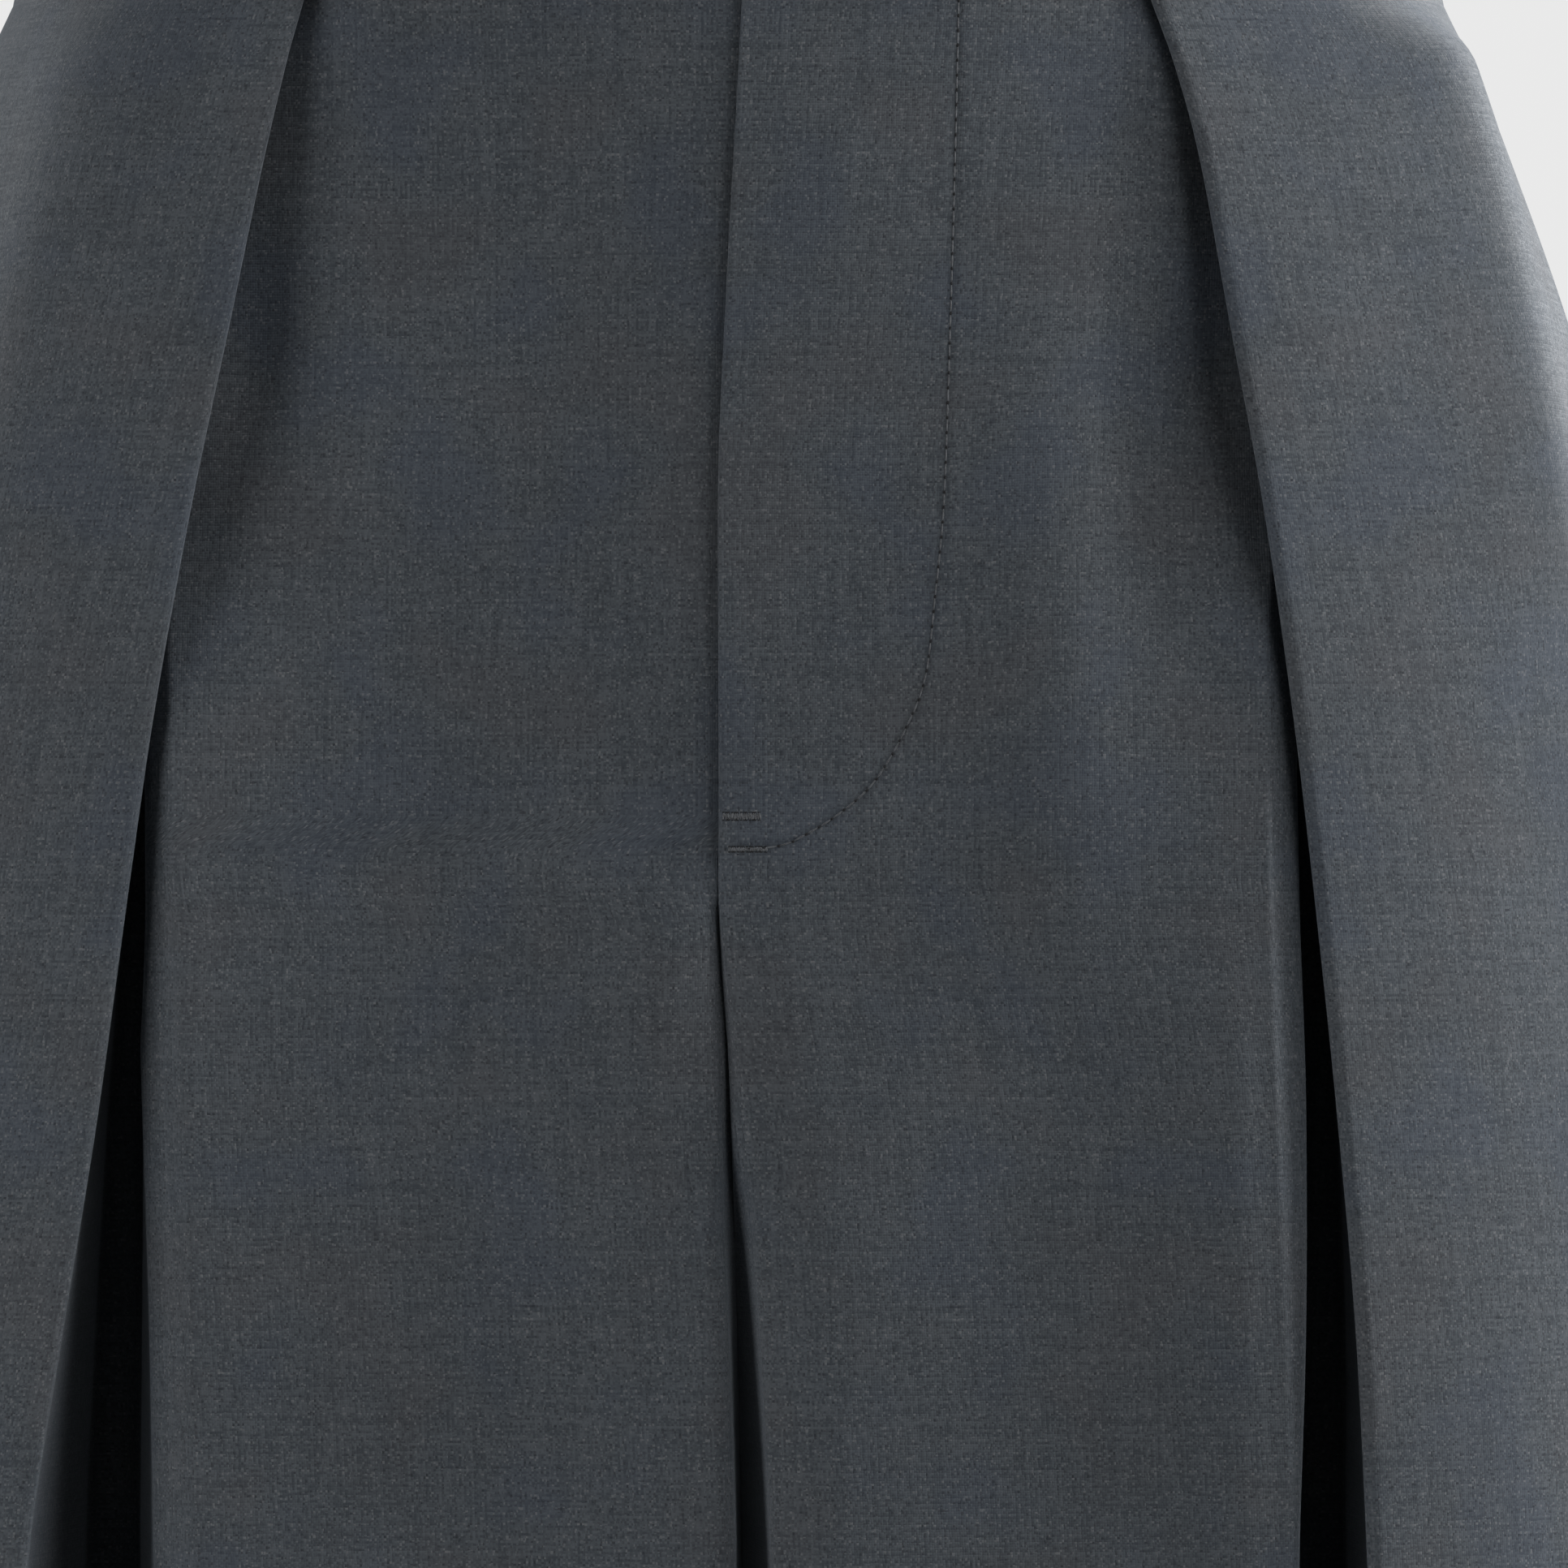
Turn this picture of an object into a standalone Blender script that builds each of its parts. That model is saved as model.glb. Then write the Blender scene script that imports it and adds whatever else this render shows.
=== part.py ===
# Oversized pleated trousers, worn and hollow: metres, +Z up, the front towards -Y.
# The origin is the middle of the waist, half way up the waistband. In the tables a drop is the
# distance in millimetres below the seam of the waistband, and x and y are millimetres too.

import math
from types import SimpleNamespace

import bpy

MM = 0.001
BAND_HEIGHT = 40.0
BAND_WALL = 2.4
BAND_PROUD = 0.5
CLOTH = 1.2
SEAM_GAP = 0.3
UPRIGHT_DROP = 2.0
FLY_DROP = 153.0
FLUSH_DROP = 161.0
UNDERLAP_DROP = 148.0
CROTCH_DROP = 306.0
CROTCH_Y = 8.0
SEAT_CURVE_DROP = 190.0
HEM_DROP = 1030.0
LIP_EASE = 60.0
TUCK_FLAT_DROP = 30.0
TUCK_REACH = 42.0
TUCK_AIR = 0.9
PANEL_TOP = -BAND_HEIGHT / 2 - SEAM_GAP

# Fly: the wearer's left front lies on top, and the zip is closed behind it.
UNDERLAP_X = 5.5
BAND_UNDERLAP = 38.0
BAND_JOIN = 14.0
TOP_LAYER_PROUD = 1.0
UNDER_LAYER_SUNK = 1.5
FLY_TOP = 1.0
ZIP_X = 9.5
ZIP_LENGTH = 145.0
CHAIN_WIDTH = 4.6
CHAIN_DEPTH = 1.2
TAPE_WIDTH = 12.0
TAPE_WALL = 0.8
TAPE_INSET = 4.0
SHIELD_X = (-14.0, 38.0)
SHIELD_LENGTH = 149.0
SHIELD_TURN = 96.0
SHIELD_FOOT = 0.28
SLIDER_TOP = 4.0
SLIDER_SIZE = (6.6, 2.0, 8.5)
TAB_SIZE = (3.4, 0.7, 17.0)
TAB_LAP = 3.0
BUTTON_RADIUS = 7.5
BUTTON_DEPTH = 3.0
BUTTON_X = 19.0
WOOL = (0.058, 0.063, 0.071)

LOFT_DROPS = (0, 2, 14, 30, 46, 64, 82, 100, 118, 134, 148, 153, 161, 175, 192, 210, 235, 260, 280,
              293, 300, 306, 325, 365, 440, 560, 700, 860, HEM_DROP)

# Front, side and back of the whole garment, measured from its middle.
BODY_NAMES = ("drop", "front_y", "back_y", "side_x", "side_y")
BODY_ROWS = (
    (0, -97, 97, 129, 0),
    (30, -100, 103, 140.6, 0),
    (60, -103, 109, 151.5, 0),
    (95, -106, 114, 162, 0),
    (133, -108, 119, 171.5, 0),
    (200, -110, 123, 183, 0),
    (278, -111, 121, 190.5, 0),
    (380, -110, 113, 196, -1),
    (520, -108, 103, 200, -2),
    (760, -103, 88, 203, -5),
    (HEM_DROP, -98, 74, 205, -8),
)

# The centre seam and the slit under it. Each front has a lip, the rounded edge of the slit, and
# seam_x, left_lip and right_lip are real x. back_lip is a distance from the seam of the seat.
SLIT_NAMES = ("drop", "seam_x", "left_lip", "right_lip", "lip_round", "back_seam", "back_lip",
              "back_round")
SLIT_ROWS = (
    (0, 2.9, 0, 2.9, 3.0, 0, 0.15, 4),
    (26, 1.6, 0, 1.6, 3.0, 0, 0.15, 4),
    (51, 0.2, 0, 0.2, 3.0, 0, 0.15, 4),
    (95, -1.5, 0, -1.5, 3.0, 0, 0.15, 4),
    (148, -1.3, 0, -1.3, 3.0, 0, 0.15, 4),
    (160, -1.4, -1.55, -1.25, 3.0, 0, 0.15, 4),
    (174, -0.8, -1.2, -0.3, 3.2, 0, 0.15, 5),
    (189, 0.3, -0.9, 1.2, 3.5, 0, 0.15, 6),
    (207, 1.0, -0.6, 2.6, 3.8, 0.1, 0.4, 8),
    (244, 2.0, 0.8, 5.1, 4.2, 0.9, 2.2, 12),
    (278, 2.6, 1.5, 6.3, 4.5, 2.0, 3.8, 15),
    (306, 2.9, 1.6, 6.8, 5.5, 2.9, 5, 17),
    (380, 2.9, -2, 9, 9, 2.9, 8, 20),
    (520, 2.9, -7, 12, 15, 2.9, 12, 23),
    (760, 2.9, -12, 15, 20, 2.9, 16, 25),
    (HEM_DROP, 2.9, -15, 17, 22, 2.9, 19, 26),
)

# The pleat of each front, as distances from the middle: inner is the crease of the under panel,
# valley the deepest fold and outer the edge of the panel that lies on top.
PLEAT_NAMES = ("drop", "inner_x", "inner_in", "valley_x", "valley_in", "outer_x", "outer_in")
RIGHT_PLEAT = (
    (0, 84, 18, 107, 35, 73, 9.6),
    (30, 92, 17, 111.5, 32, 81.8, 7.8),
    (60, 95, 15, 110, 32, 87.2, 4.5),
    (95, 94.5, 11.5, 105, 37, 93.4, 3),
    (133, 93.4, 8, 102, 42, 98.7, 3),
    (160, 93.8, 6, 102.5, 46, 101.8, 2.5),
    (200, 95, 5, 104.3, 50, 105.9, 2),
    (240, 96.4, 5, 105, 53, 109.2, 1),
    (278, 97.2, 5, 104.5, 54, 111, 0),
    (380, 97, 5, 106, 52, 115, 0),
    (520, 94, 6, 108, 45, 121, 0),
    (760, 91, 7, 110, 36, 128, 1),
    (HEM_DROP, 90, 8, 112, 27, 134, 2),
)
LEFT_PLEAT = (
    (0, 84, 18, 107, 35, 73, 9.6),
    (30, 90, 17, 110.5, 32, 80, 7.8),
    (60, 94, 15, 109.5, 32, 86, 4.5),
    (95, 96, 11.5, 106, 37, 93.1, 3),
    (133, 96.3, 8, 104, 42, 99.8, 3),
    (160, 94.7, 6, 104, 46, 103.6, 2.5),
    (200, 93.5, 5, 106, 50, 109, 2),
    (240, 92.2, 5, 107.5, 53, 115.4, 1),
    (278, 91.5, 5, 108.5, 54, 121, 0),
    (380, 90, 5, 109, 52, 127, 0),
    (520, 89, 6, 110, 45, 130, 0),
    (760, 88, 7, 111, 36, 133, 1),
    (HEM_DROP, 88, 8, 112, 27, 137, 2),
)

# Headings in degrees, 0 outwards and 90 backwards: how the cloth comes to each fold and leaves it.
FOLD_NAMES = ("drop", "inner_from", "inner_to", "valley_from", "valley_to", "outer_from", "outer_to",
              "inner_round", "valley_round", "outer_round")
FOLD_ROWS = (
    (0, 17, 22, 47, -133, -158, 22, 2.2, 0.45, 1.8),
    (30, 15, 22, 50, -128, -156, 22, 2.2, 1.0, 1.8),
    (60, 11, 28, 60, -116, -150, 22, 2.2, 1.6, 1.8),
    (95, 6, 46, 76, -102, -138, 22, 2.2, 2.2, 1.8),
    (133, 3, 58, 87, -92, -112, 21, 2.2, 2.6, 1.9),
    (160, 3, 62, 90, -89, -98, 20, 2.2, 2.8, 2.0),
    (278, 2, 66, 91, -86, -95, 20, 2.2, 5.0, 2.2),
    (520, 2, 60, 84, -80, -82, 22, 2.4, 7.5, 2.6),
    (HEM_DROP, 2, 50, 75, -75, -65, 25, 3.0, 10.0, 3.2),
)

BACK_NAMES = ("drop", "crease_x", "crease_in", "crease_from", "crease_to")
BACK_ROWS = (
    (0, 62, 10, 19, 21),
    (60, 72, 10, 17, 21),
    (133, 84, 9, 13, 23),
    (200, 91, 7, 9, 25),
    (278, 96, 5, 6, 27),
    (520, 102, 4, 4, 28),
    (HEM_DROP, 106, 4, 4, 30),
)
CREASE_ROUND = 2.4
SEAM_ALLOWANCE = 3.0
SEAM_END = (0, 1.5)
ARC_HALF = 6
CURVE_STEPS = 32
STRIP_ROWS = 12


def gentle_slopes(places, values):
    """Slopes that carry a smooth curve through the values with no overshoot."""
    steps = [(b - a) / (q - p) for a, b, p, q in zip(values, values[1:], places, places[1:])]
    slopes = [steps[0]]
    for before, after in zip(steps, steps[1:]):
        slopes.append(2 * before * after / (before + after) if before * after > 0 else 0.0)
    return slopes + [steps[-1]]


class Sizes:
    """A table of named sizes by drop, read smoothly between its rows."""

    def __init__(self, names, rows):
        self.names = names[1:]
        self.drops, *self.columns = zip(*rows)
        self.slopes = [gentle_slopes(self.drops, column) for column in self.columns]

    def at(self, drop):
        last = len(self.drops) - 2
        i = max(k for k in range(last + 1) if k == 0 or self.drops[k] <= drop)
        span = self.drops[i + 1] - self.drops[i]
        t = (drop - self.drops[i]) / span
        found = {}
        for name, column, slopes in zip(self.names, self.columns, self.slopes):
            found[name] = (
                column[i] * (2 * t**3 - 3 * t**2 + 1) + column[i + 1] * (3 * t**2 - 2 * t**3)
                + span * (slopes[i] * (t**3 - 2 * t**2 + t) + slopes[i + 1] * (t**3 - t**2))
            )
        return SimpleNamespace(**found)


body_sizes = Sizes(BODY_NAMES, BODY_ROWS)
slit_sizes = Sizes(SLIT_NAMES, SLIT_ROWS)
fold_sizes = Sizes(FOLD_NAMES, FOLD_ROWS)
back_sizes = Sizes(BACK_NAMES, BACK_ROWS)
pleat_sizes = {1: Sizes(PLEAT_NAMES, RIGHT_PLEAT), -1: Sizes(PLEAT_NAMES, LEFT_PLEAT)}


def moved(point, heading, distance):
    """A point at a distance from another, straight along a heading in degrees."""
    angle = math.radians(heading)
    return (point[0] + distance * math.cos(angle), point[1] + distance * math.sin(angle))


def fold_arc(centre, radius, start, end, hollow=False):
    """Cloth that turns round a fold. A hollow fold has its centre in front of the cloth."""
    side = 90 if hollow else -90
    headings = [start + (end - start) * i / (2 * ARC_HALF) for i in range(2 * ARC_HALF + 1)]
    return [moved(centre, heading + side, radius) for heading in headings]


def halves(arc):
    """An arc parted at its middle, the fold itself."""
    return arc[:ARC_HALF + 1], arc[ARC_HALF:]


def fair_curve(start, heading, end, end_heading, pull=0.38):
    """A curve that leaves one point and reaches the next along given headings."""
    reach = pull * math.dist(start, end)
    near = moved(start, heading, reach)
    far = moved(end, end_heading, -reach)
    curve = []
    for i in range(CURVE_STEPS + 1):
        t = i / CURVE_STEPS
        weights = ((1 - t) ** 3, 3 * t * (1 - t) ** 2, 3 * t**2 * (1 - t), t**3)
        corners = (start, near, far, end)
        curve.append(tuple(sum(w * p[axis] for w, p in zip(weights, corners)) for axis in (0, 1)))
    return curve


def point_along(curve, distance):
    """The point at a distance along a curve, and the heading there."""
    for a, b in zip(curve, curve[1:]):
        step = math.dist(a, b)
        if distance <= step:
            break
        distance -= step
    share = min(distance / step, 1.0) if step else 0.0
    heading = math.degrees(math.atan2(b[1] - a[1], b[0] - a[0]))
    return (a[0] + share * (b[0] - a[0]), a[1] + share * (b[1] - a[1])), heading


def curve_length(curve):
    return sum(math.dist(a, b) for a, b in zip(curve, curve[1:]))


def mixed(a, b, share):
    return tuple(p + (q - p) * share for p, q in zip(a, b))


def slit_start(edge, lip_x, face, radius):
    """Cloth from its edge to the lip: square to its seam, along the slit's wall and on to the face."""
    depth = edge[1] - face
    square = moved(edge, -90, min(max(depth - 2 * radius, 0), SEAM_ALLOWANCE))
    centre = (lip_x + radius, face + radius)
    apart = math.dist(square, centre)
    towards = math.degrees(math.atan2(centre[1] - square[1], centre[0] - square[0]))
    heading = towards - math.degrees(math.asin(min(radius / apart, 1.0)))
    arc = fold_arc(centre, radius, heading, 0)
    first, second = halves(arc)
    return [edge, square] + first, second


def depth_of_seam(drop, top_drop, depth):
    """How far the crotch seam has curved inwards at a drop, as a quarter of an ellipse."""
    share = min(max((drop - top_drop) / (CROTCH_DROP - top_drop), 0.0), 1.0)
    return depth * (1 - math.sqrt(1 - share**2))


def front_edge(side, drop):
    """Where a front panel starts: its edge, its lip and the y of its face beside them."""
    body, slit = body_sizes.at(drop), slit_sizes.at(drop)
    lapped = min(max((FLUSH_DROP - drop) / (FLUSH_DROP - FLY_DROP), 0.0), 1.0)
    if side > 0:
        face = body.front_y - TOP_LAYER_PROUD * lapped
        edge_x, lip_x = slit.seam_x + SEAM_GAP / 2, slit.right_lip
    else:
        face = body.front_y + UNDER_LAYER_SUNK * lapped
        edge_x, lip_x = -slit.seam_x + SEAM_GAP / 2, -slit.left_lip
        reach = min(max((FLY_DROP - drop) / (FLY_DROP - UNDERLAP_DROP), 0.0), 1.0)
        edge_x += (-UNDERLAP_X - edge_x) * reach
    if drop > CROTCH_DROP:
        edge_x += (lip_x - edge_x) * (1 - math.exp((CROTCH_DROP - drop) / LIP_EASE))
    lip_x = edge_x if drop < FLUSH_DROP else max(lip_x, edge_x)
    back = depth_of_seam(drop, FLUSH_DROP, CROTCH_Y - SEAM_GAP / 2 - body_sizes.at(CROTCH_DROP).front_y)
    edge_y = min(face + back, CROTCH_Y - SEAM_GAP / 2)
    return (edge_x, edge_y), lip_x, face, slit.lip_round


def front_section(side, drop):
    """The right side of a front at one drop, in five runs parted at its folds."""
    body, pleat, fold = body_sizes.at(drop), pleat_sizes[side].at(drop), fold_sizes.at(drop)
    front_y = body.front_y
    seam_end = (body.side_x, body.side_y - SEAM_GAP / 2)

    outer = (pleat.outer_x + fold.outer_round, front_y + pleat.outer_in)
    outer_arc = fold_arc(outer, fold.outer_round, fold.outer_from, fold.outer_to)
    outer_panel = fair_curve(outer_arc[-1], fold.outer_to, seam_end, 90)

    # At the waist the tuck lies flat, so its layers follow the outer panel.
    flat = max(1 - drop / TUCK_FLAT_DROP, 0.0)
    depth = 2 * fold.outer_round + TUCK_AIR
    on_panel, heading = point_along(outer_panel, TUCK_REACH)
    tucked = moved(on_panel, heading + 90, depth - fold.valley_round)
    valley = mixed((pleat.valley_x, front_y + pleat.valley_in), tucked, flat)
    valley_from = fold.valley_from + (heading - fold.valley_from) * flat
    valley_to = fold.valley_to + (heading - 180 - fold.valley_to) * flat
    valley_arc = fold_arc(valley, fold.valley_round, valley_from, valley_to, hollow=True)

    on_panel, heading = point_along(outer_panel, TUCK_REACH / 3)
    tucked = moved(on_panel, heading + 90, depth + fold.inner_round)
    inner = mixed((pleat.inner_x, front_y + pleat.inner_in + fold.inner_round), tucked, flat)
    inner_to = fold.inner_to + (heading - fold.inner_to) * flat
    inner_from = fold.inner_from + (heading - fold.inner_from) * flat
    inner_arc = fold_arc(inner, fold.inner_round, inner_from, inner_to)

    edge_run, lip_arc = slit_start(*front_edge(side, drop))
    inner_panel = fair_curve(lip_arc[-1], 0, inner_arc[0], inner_from)
    tuck_in = fair_curve(inner_arc[-1], inner_to, valley_arc[0], valley_from)
    tuck_out = fair_curve(valley_arc[-1], valley_to, outer_arc[0], fold.outer_from)
    inner_arc, valley_arc, outer_arc = halves(inner_arc), halves(valley_arc), halves(outer_arc)
    return (
        edge_run,
        lip_arc + inner_panel + inner_arc[0],
        inner_arc[1] + tuck_in + valley_arc[0],
        valley_arc[1] + tuck_out + outer_arc[0],
        outer_arc[1] + outer_panel,
    )


def back_section(side, drop):
    """The right side of a back at one drop, in three runs, with y measured towards the front."""
    body, slit, back = body_sizes.at(drop), slit_sizes.at(drop), back_sizes.at(drop)
    face = -body.back_y
    edge_x, lip_x = side * slit.back_seam + SEAM_GAP / 2, slit.back_lip
    if drop > CROTCH_DROP:
        edge_x = front_edge(side, drop)[0][0]
    depth = body_sizes.at(CROTCH_DROP).back_y - CROTCH_Y - SEAM_GAP / 2
    edge_y = min(face + depth_of_seam(drop, SEAT_CURVE_DROP, depth), -CROTCH_Y - SEAM_GAP / 2)
    lip_x = edge_x + max(lip_x - SEAM_GAP / 2, 0)
    edge_run, lip_arc = slit_start((edge_x, edge_y), lip_x, face, slit.back_round)
    crease = (back.crease_x, face + back.crease_in + CREASE_ROUND)
    crease_arc = fold_arc(crease, CREASE_ROUND, back.crease_from, back.crease_to)
    seam_end = (body.side_x, -body.side_y - SEAM_GAP / 2)
    seat_panel = fair_curve(lip_arc[-1], 0, crease_arc[0], back.crease_from)
    side_panel = fair_curve(crease_arc[-1], back.crease_to, seam_end, 90)
    to_crease, from_crease = halves(crease_arc)
    return edge_run, lip_arc + seat_panel + to_crease, from_crease + side_panel


def spaced(run, near_start, near_end, count):
    """Points along a run: some close to each end, and an even row between them."""
    length = curve_length(run)
    squeeze = min(0.8 * length / (near_start[-1] + near_end[-1]), 1.0)
    starts = [squeeze * distance for distance in near_start]
    ends = [length - squeeze * distance for distance in reversed(near_end)]
    even = [starts[-1] + (ends[0] - starts[-1]) * i / count for i in range(1, count)]
    return [point_along(run, stop)[0] for stop in starts + even + ends[:-1]]


def round_stops(radius, turn):
    """Distances that follow a fold round: its middle, half way out and where it ends."""
    half = max(math.radians(abs(turn)) * radius / 2, 1.2)
    return (0, half / 2, half)


def joined_points(runs, spacing):
    points = [point for run, stops in zip(runs, spacing) for point in spaced(run, *stops)]
    return points + [runs[-1][-1]]


def front_points(side, drop):
    fold = fold_sizes.at(drop)
    inner = round_stops(fold.inner_round, fold.inner_to - fold.inner_from)
    valley = round_stops(fold.valley_round, 178)
    outer = round_stops(fold.outer_round, fold.outer_to - fold.outer_from)
    lip = (0, slit_sizes.at(drop).lip_round * 0.8)
    spacing = ((SEAM_END, lip, 2), (lip, inner, 4), (inner, valley, 3), (valley, outer, 3),
               (outer, SEAM_END, 7))
    return joined_points(front_section(side, drop), spacing)


def back_points(side, drop):
    lip = (0, slit_sizes.at(drop).back_round * 0.8)
    crease = (0, CREASE_ROUND * 0.6)
    spacing = ((SEAM_END, lip, 1), (lip, crease, 3), (crease, SEAM_END, 5))
    return [(x, -y) for x, y in joined_points(back_section(side, drop), spacing)]


def material(name, colour, roughness, metallic=0.0):
    made = bpy.data.materials.new(name)
    made.use_nodes = True
    shader = made.node_tree.nodes["Principled BSDF"]
    shader.inputs["Base Color"].default_value = (*colour, 1)
    shader.inputs["Roughness"].default_value = roughness
    shader.inputs["Metallic"].default_value = metallic
    return made


def loft(name, sections, finish, wall, flipped=False):
    """A wall behind the surface through rows of points, all given in millimetres."""
    across = len(sections[0])
    points = [tuple(MM * value for value in point) for section in sections for point in section]
    faces = []
    for row in range(len(sections) - 1):
        for column in range(across - 1):
            a = row * across + column
            corners = (a, a + across, a + across + 1, a + 1)
            faces.append(corners[::-1] if flipped else corners)
    mesh = bpy.data.meshes.new(name)
    mesh.from_pydata(points, [], faces)
    mesh.shade_smooth()
    mesh.materials.append(finish)
    made = bpy.data.objects.new(name, mesh)
    trousers.objects.link(made)
    solid = made.modifiers.new("wall", "SOLIDIFY")
    solid.thickness = wall * MM
    solid.offset = -1
    solid.use_even_offset = True
    return made


def panel(name, side, section_points, flipped):
    sections = []
    for drop in LOFT_DROPS:
        upright = drop if drop > UPRIGHT_DROP else 0
        sections.append([(side * x, y, PANEL_TOP - drop) for x, y in section_points(side, upright)])
    return loft(name, sections, material(name, WOOL, 0.85), CLOTH, flipped)


def offset_line(line, distance):
    """A line moved sideways, outwards where the distance is positive."""
    moved_line = []
    for i, point in enumerate(line):
        before, after = line[max(i - 1, 0)], line[min(i + 1, len(line) - 1)]
        heading = math.degrees(math.atan2(after[1] - before[1], after[0] - before[0]))
        moved_line.append(moved(point, heading - 90, distance))
    return moved_line


def half_waist(side, start, heading):
    """The line of the waist on one side, from a point in front round to the middle of the back."""
    outer_panel = front_section(side, 0)[4][ARC_HALF + 1:]
    joined, joined_heading = point_along(outer_panel, BAND_JOIN)
    reach = int(curve_length(outer_panel) - BAND_JOIN)
    around = [point_along(outer_panel, BAND_JOIN + step)[0] for step in range(4, reach, 4)]
    back = [(x, -y) for run in back_section(side, 0)[::-1] for x, y in run[::-1]]
    front = fair_curve(start, heading, joined, joined_heading)
    return front + offset_line(around, BAND_PROUD) + offset_line(back, BAND_PROUD)


def band_lines():
    """The outside of the top half of the band, and of the half that runs on beneath it."""
    face = body_sizes.at(0).front_y
    overlap = slit_sizes.at(0).seam_x + SEAM_GAP / 2
    top = half_waist(1, (overlap, face - TOP_LAYER_PROUD - BAND_PROUD), 0)
    stops = [top[0]] + [point_along(top, step)[0] for step in range(3, int(BAND_UNDERLAP - overlap), 3)]
    tucked = offset_line(stops, -BAND_WALL - SEAM_GAP)
    under = [(-x, y) for x, y in tucked[::-1]]
    return top, under[:-1] + half_waist(-1, under[-1], 0)


def waistband(name, side, line, count, flipped):
    length = curve_length(line)
    points = [point_along(line, length * i / count)[0] for i in range(count + 1)]
    half = BAND_HEIGHT / 2
    sections = [[(side * x, y, height) for x, y in points] for height in (half, 0, -half)]
    return loft(name, sections, material(name, WOOL, 0.85), BAND_WALL, flipped)


def fly_skin(drop, x):
    """The y of the top front's right side at a place across the fly."""
    runs = front_section(1, drop)
    line = runs[0] + runs[1]
    if x <= line[0][0]:
        return line[0][1]
    for a, b in zip(line, line[1:]):
        if a[0] <= x <= b[0] and b[0] > a[0]:
            return a[1] + (b[1] - a[1]) * (x - a[0]) / (b[0] - a[0])
    return line[-1][1]


def fly_strip(name, edges, start, end, inset, wall, finish):
    """A strip behind the fly. edges gives its left and right x at a drop."""
    sections = []
    for row in range(STRIP_ROWS + 1):
        drop = start + (end - start) * row / STRIP_ROWS
        left, right = edges(drop)
        places = [left + (right - left) * i / 4 for i in range(5)]
        sections.append([(x, fly_skin(drop, x) + inset, PANEL_TOP - drop) for x in places])
    return loft(name, sections, finish, wall)


def shield_edges(drop):
    """The shield narrows to the foot of the fly on the curve of its stitching."""
    share = max((drop - SHIELD_TURN) / (FLY_TOP + SHIELD_LENGTH - SHIELD_TURN), 0.0)
    round_off = max(math.sqrt(max(1 - share**2, 0.0)), SHIELD_FOOT)
    return SHIELD_X[0] * (1 + round_off) / 2, SHIELD_X[1] * round_off


def block(name, size, middle, tilt, edge, finish):
    place = [MM * value for value in middle]
    bpy.ops.mesh.primitive_cube_add(size=1, location=place, rotation=(tilt, 0, 0))
    made = bpy.context.object
    made.name = made.data.name = name
    made.scale = [MM * value for value in size]
    bpy.ops.object.transform_apply(location=False, rotation=False, scale=True)
    made.data.materials.append(finish)
    rounded = made.modifiers.new("edges", "BEVEL")
    rounded.width = edge * MM
    rounded.segments = 2
    for collection in list(made.users_collection):
        collection.objects.unlink(made)
    return made


def zip_fastener():
    tape_finish = material("zip_tape", (0.05, 0.055, 0.06), 0.8)
    metal = material("zip_metal", (0.35, 0.35, 0.36), 0.35, 1.0)
    foot = FLY_TOP + ZIP_LENGTH
    half_gap = SEAM_GAP / 2
    fly_strip("zip_tape_right", lambda drop: (ZIP_X - TAPE_WIDTH, ZIP_X - half_gap), FLY_TOP, foot,
              TAPE_INSET, TAPE_WALL, tape_finish)
    fly_strip("zip_tape_left", lambda drop: (ZIP_X + half_gap, ZIP_X + TAPE_WIDTH), FLY_TOP, foot,
              TAPE_INSET, TAPE_WALL, tape_finish)
    chain_top = SLIDER_TOP + SLIDER_SIZE[2] + SEAM_GAP
    fly_strip("zip_chain", lambda drop: (ZIP_X - CHAIN_WIDTH / 2, ZIP_X + CHAIN_WIDTH / 2), chain_top,
              foot, TAPE_INSET - SEAM_GAP - CHAIN_DEPTH, CHAIN_DEPTH, metal)

    middle = SLIDER_TOP + SLIDER_SIZE[2] / 2
    slope = (fly_skin(middle + SLIDER_SIZE[2], ZIP_X) - fly_skin(middle, ZIP_X)) / SLIDER_SIZE[2]
    back = fly_skin(middle, ZIP_X) + TAPE_INSET - SEAM_GAP
    place = (ZIP_X, back - SLIDER_SIZE[1] / 2, PANEL_TOP - middle)
    slider = block("zip_slider", SLIDER_SIZE, place, math.atan(slope), 0.5, metal)
    tab_drop = SLIDER_SIZE[2] / 2 + TAB_SIZE[2] / 2 - TAB_LAP
    tab_y = place[1] - (SLIDER_SIZE[1] - TAB_SIZE[1]) / 2 + slope * tab_drop
    tab = block("zip_tab", TAB_SIZE, (ZIP_X, tab_y, place[2] - tab_drop), math.atan(slope), 0.2, metal)
    trousers.objects.link(slider)
    joined_pieces.objects.link(tab)
    tab.hide_render = True
    tab.display_type = "WIRE"
    join = slider.modifiers.new("tab", "BOOLEAN")
    join.operation = "UNION"
    join.object = tab


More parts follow.
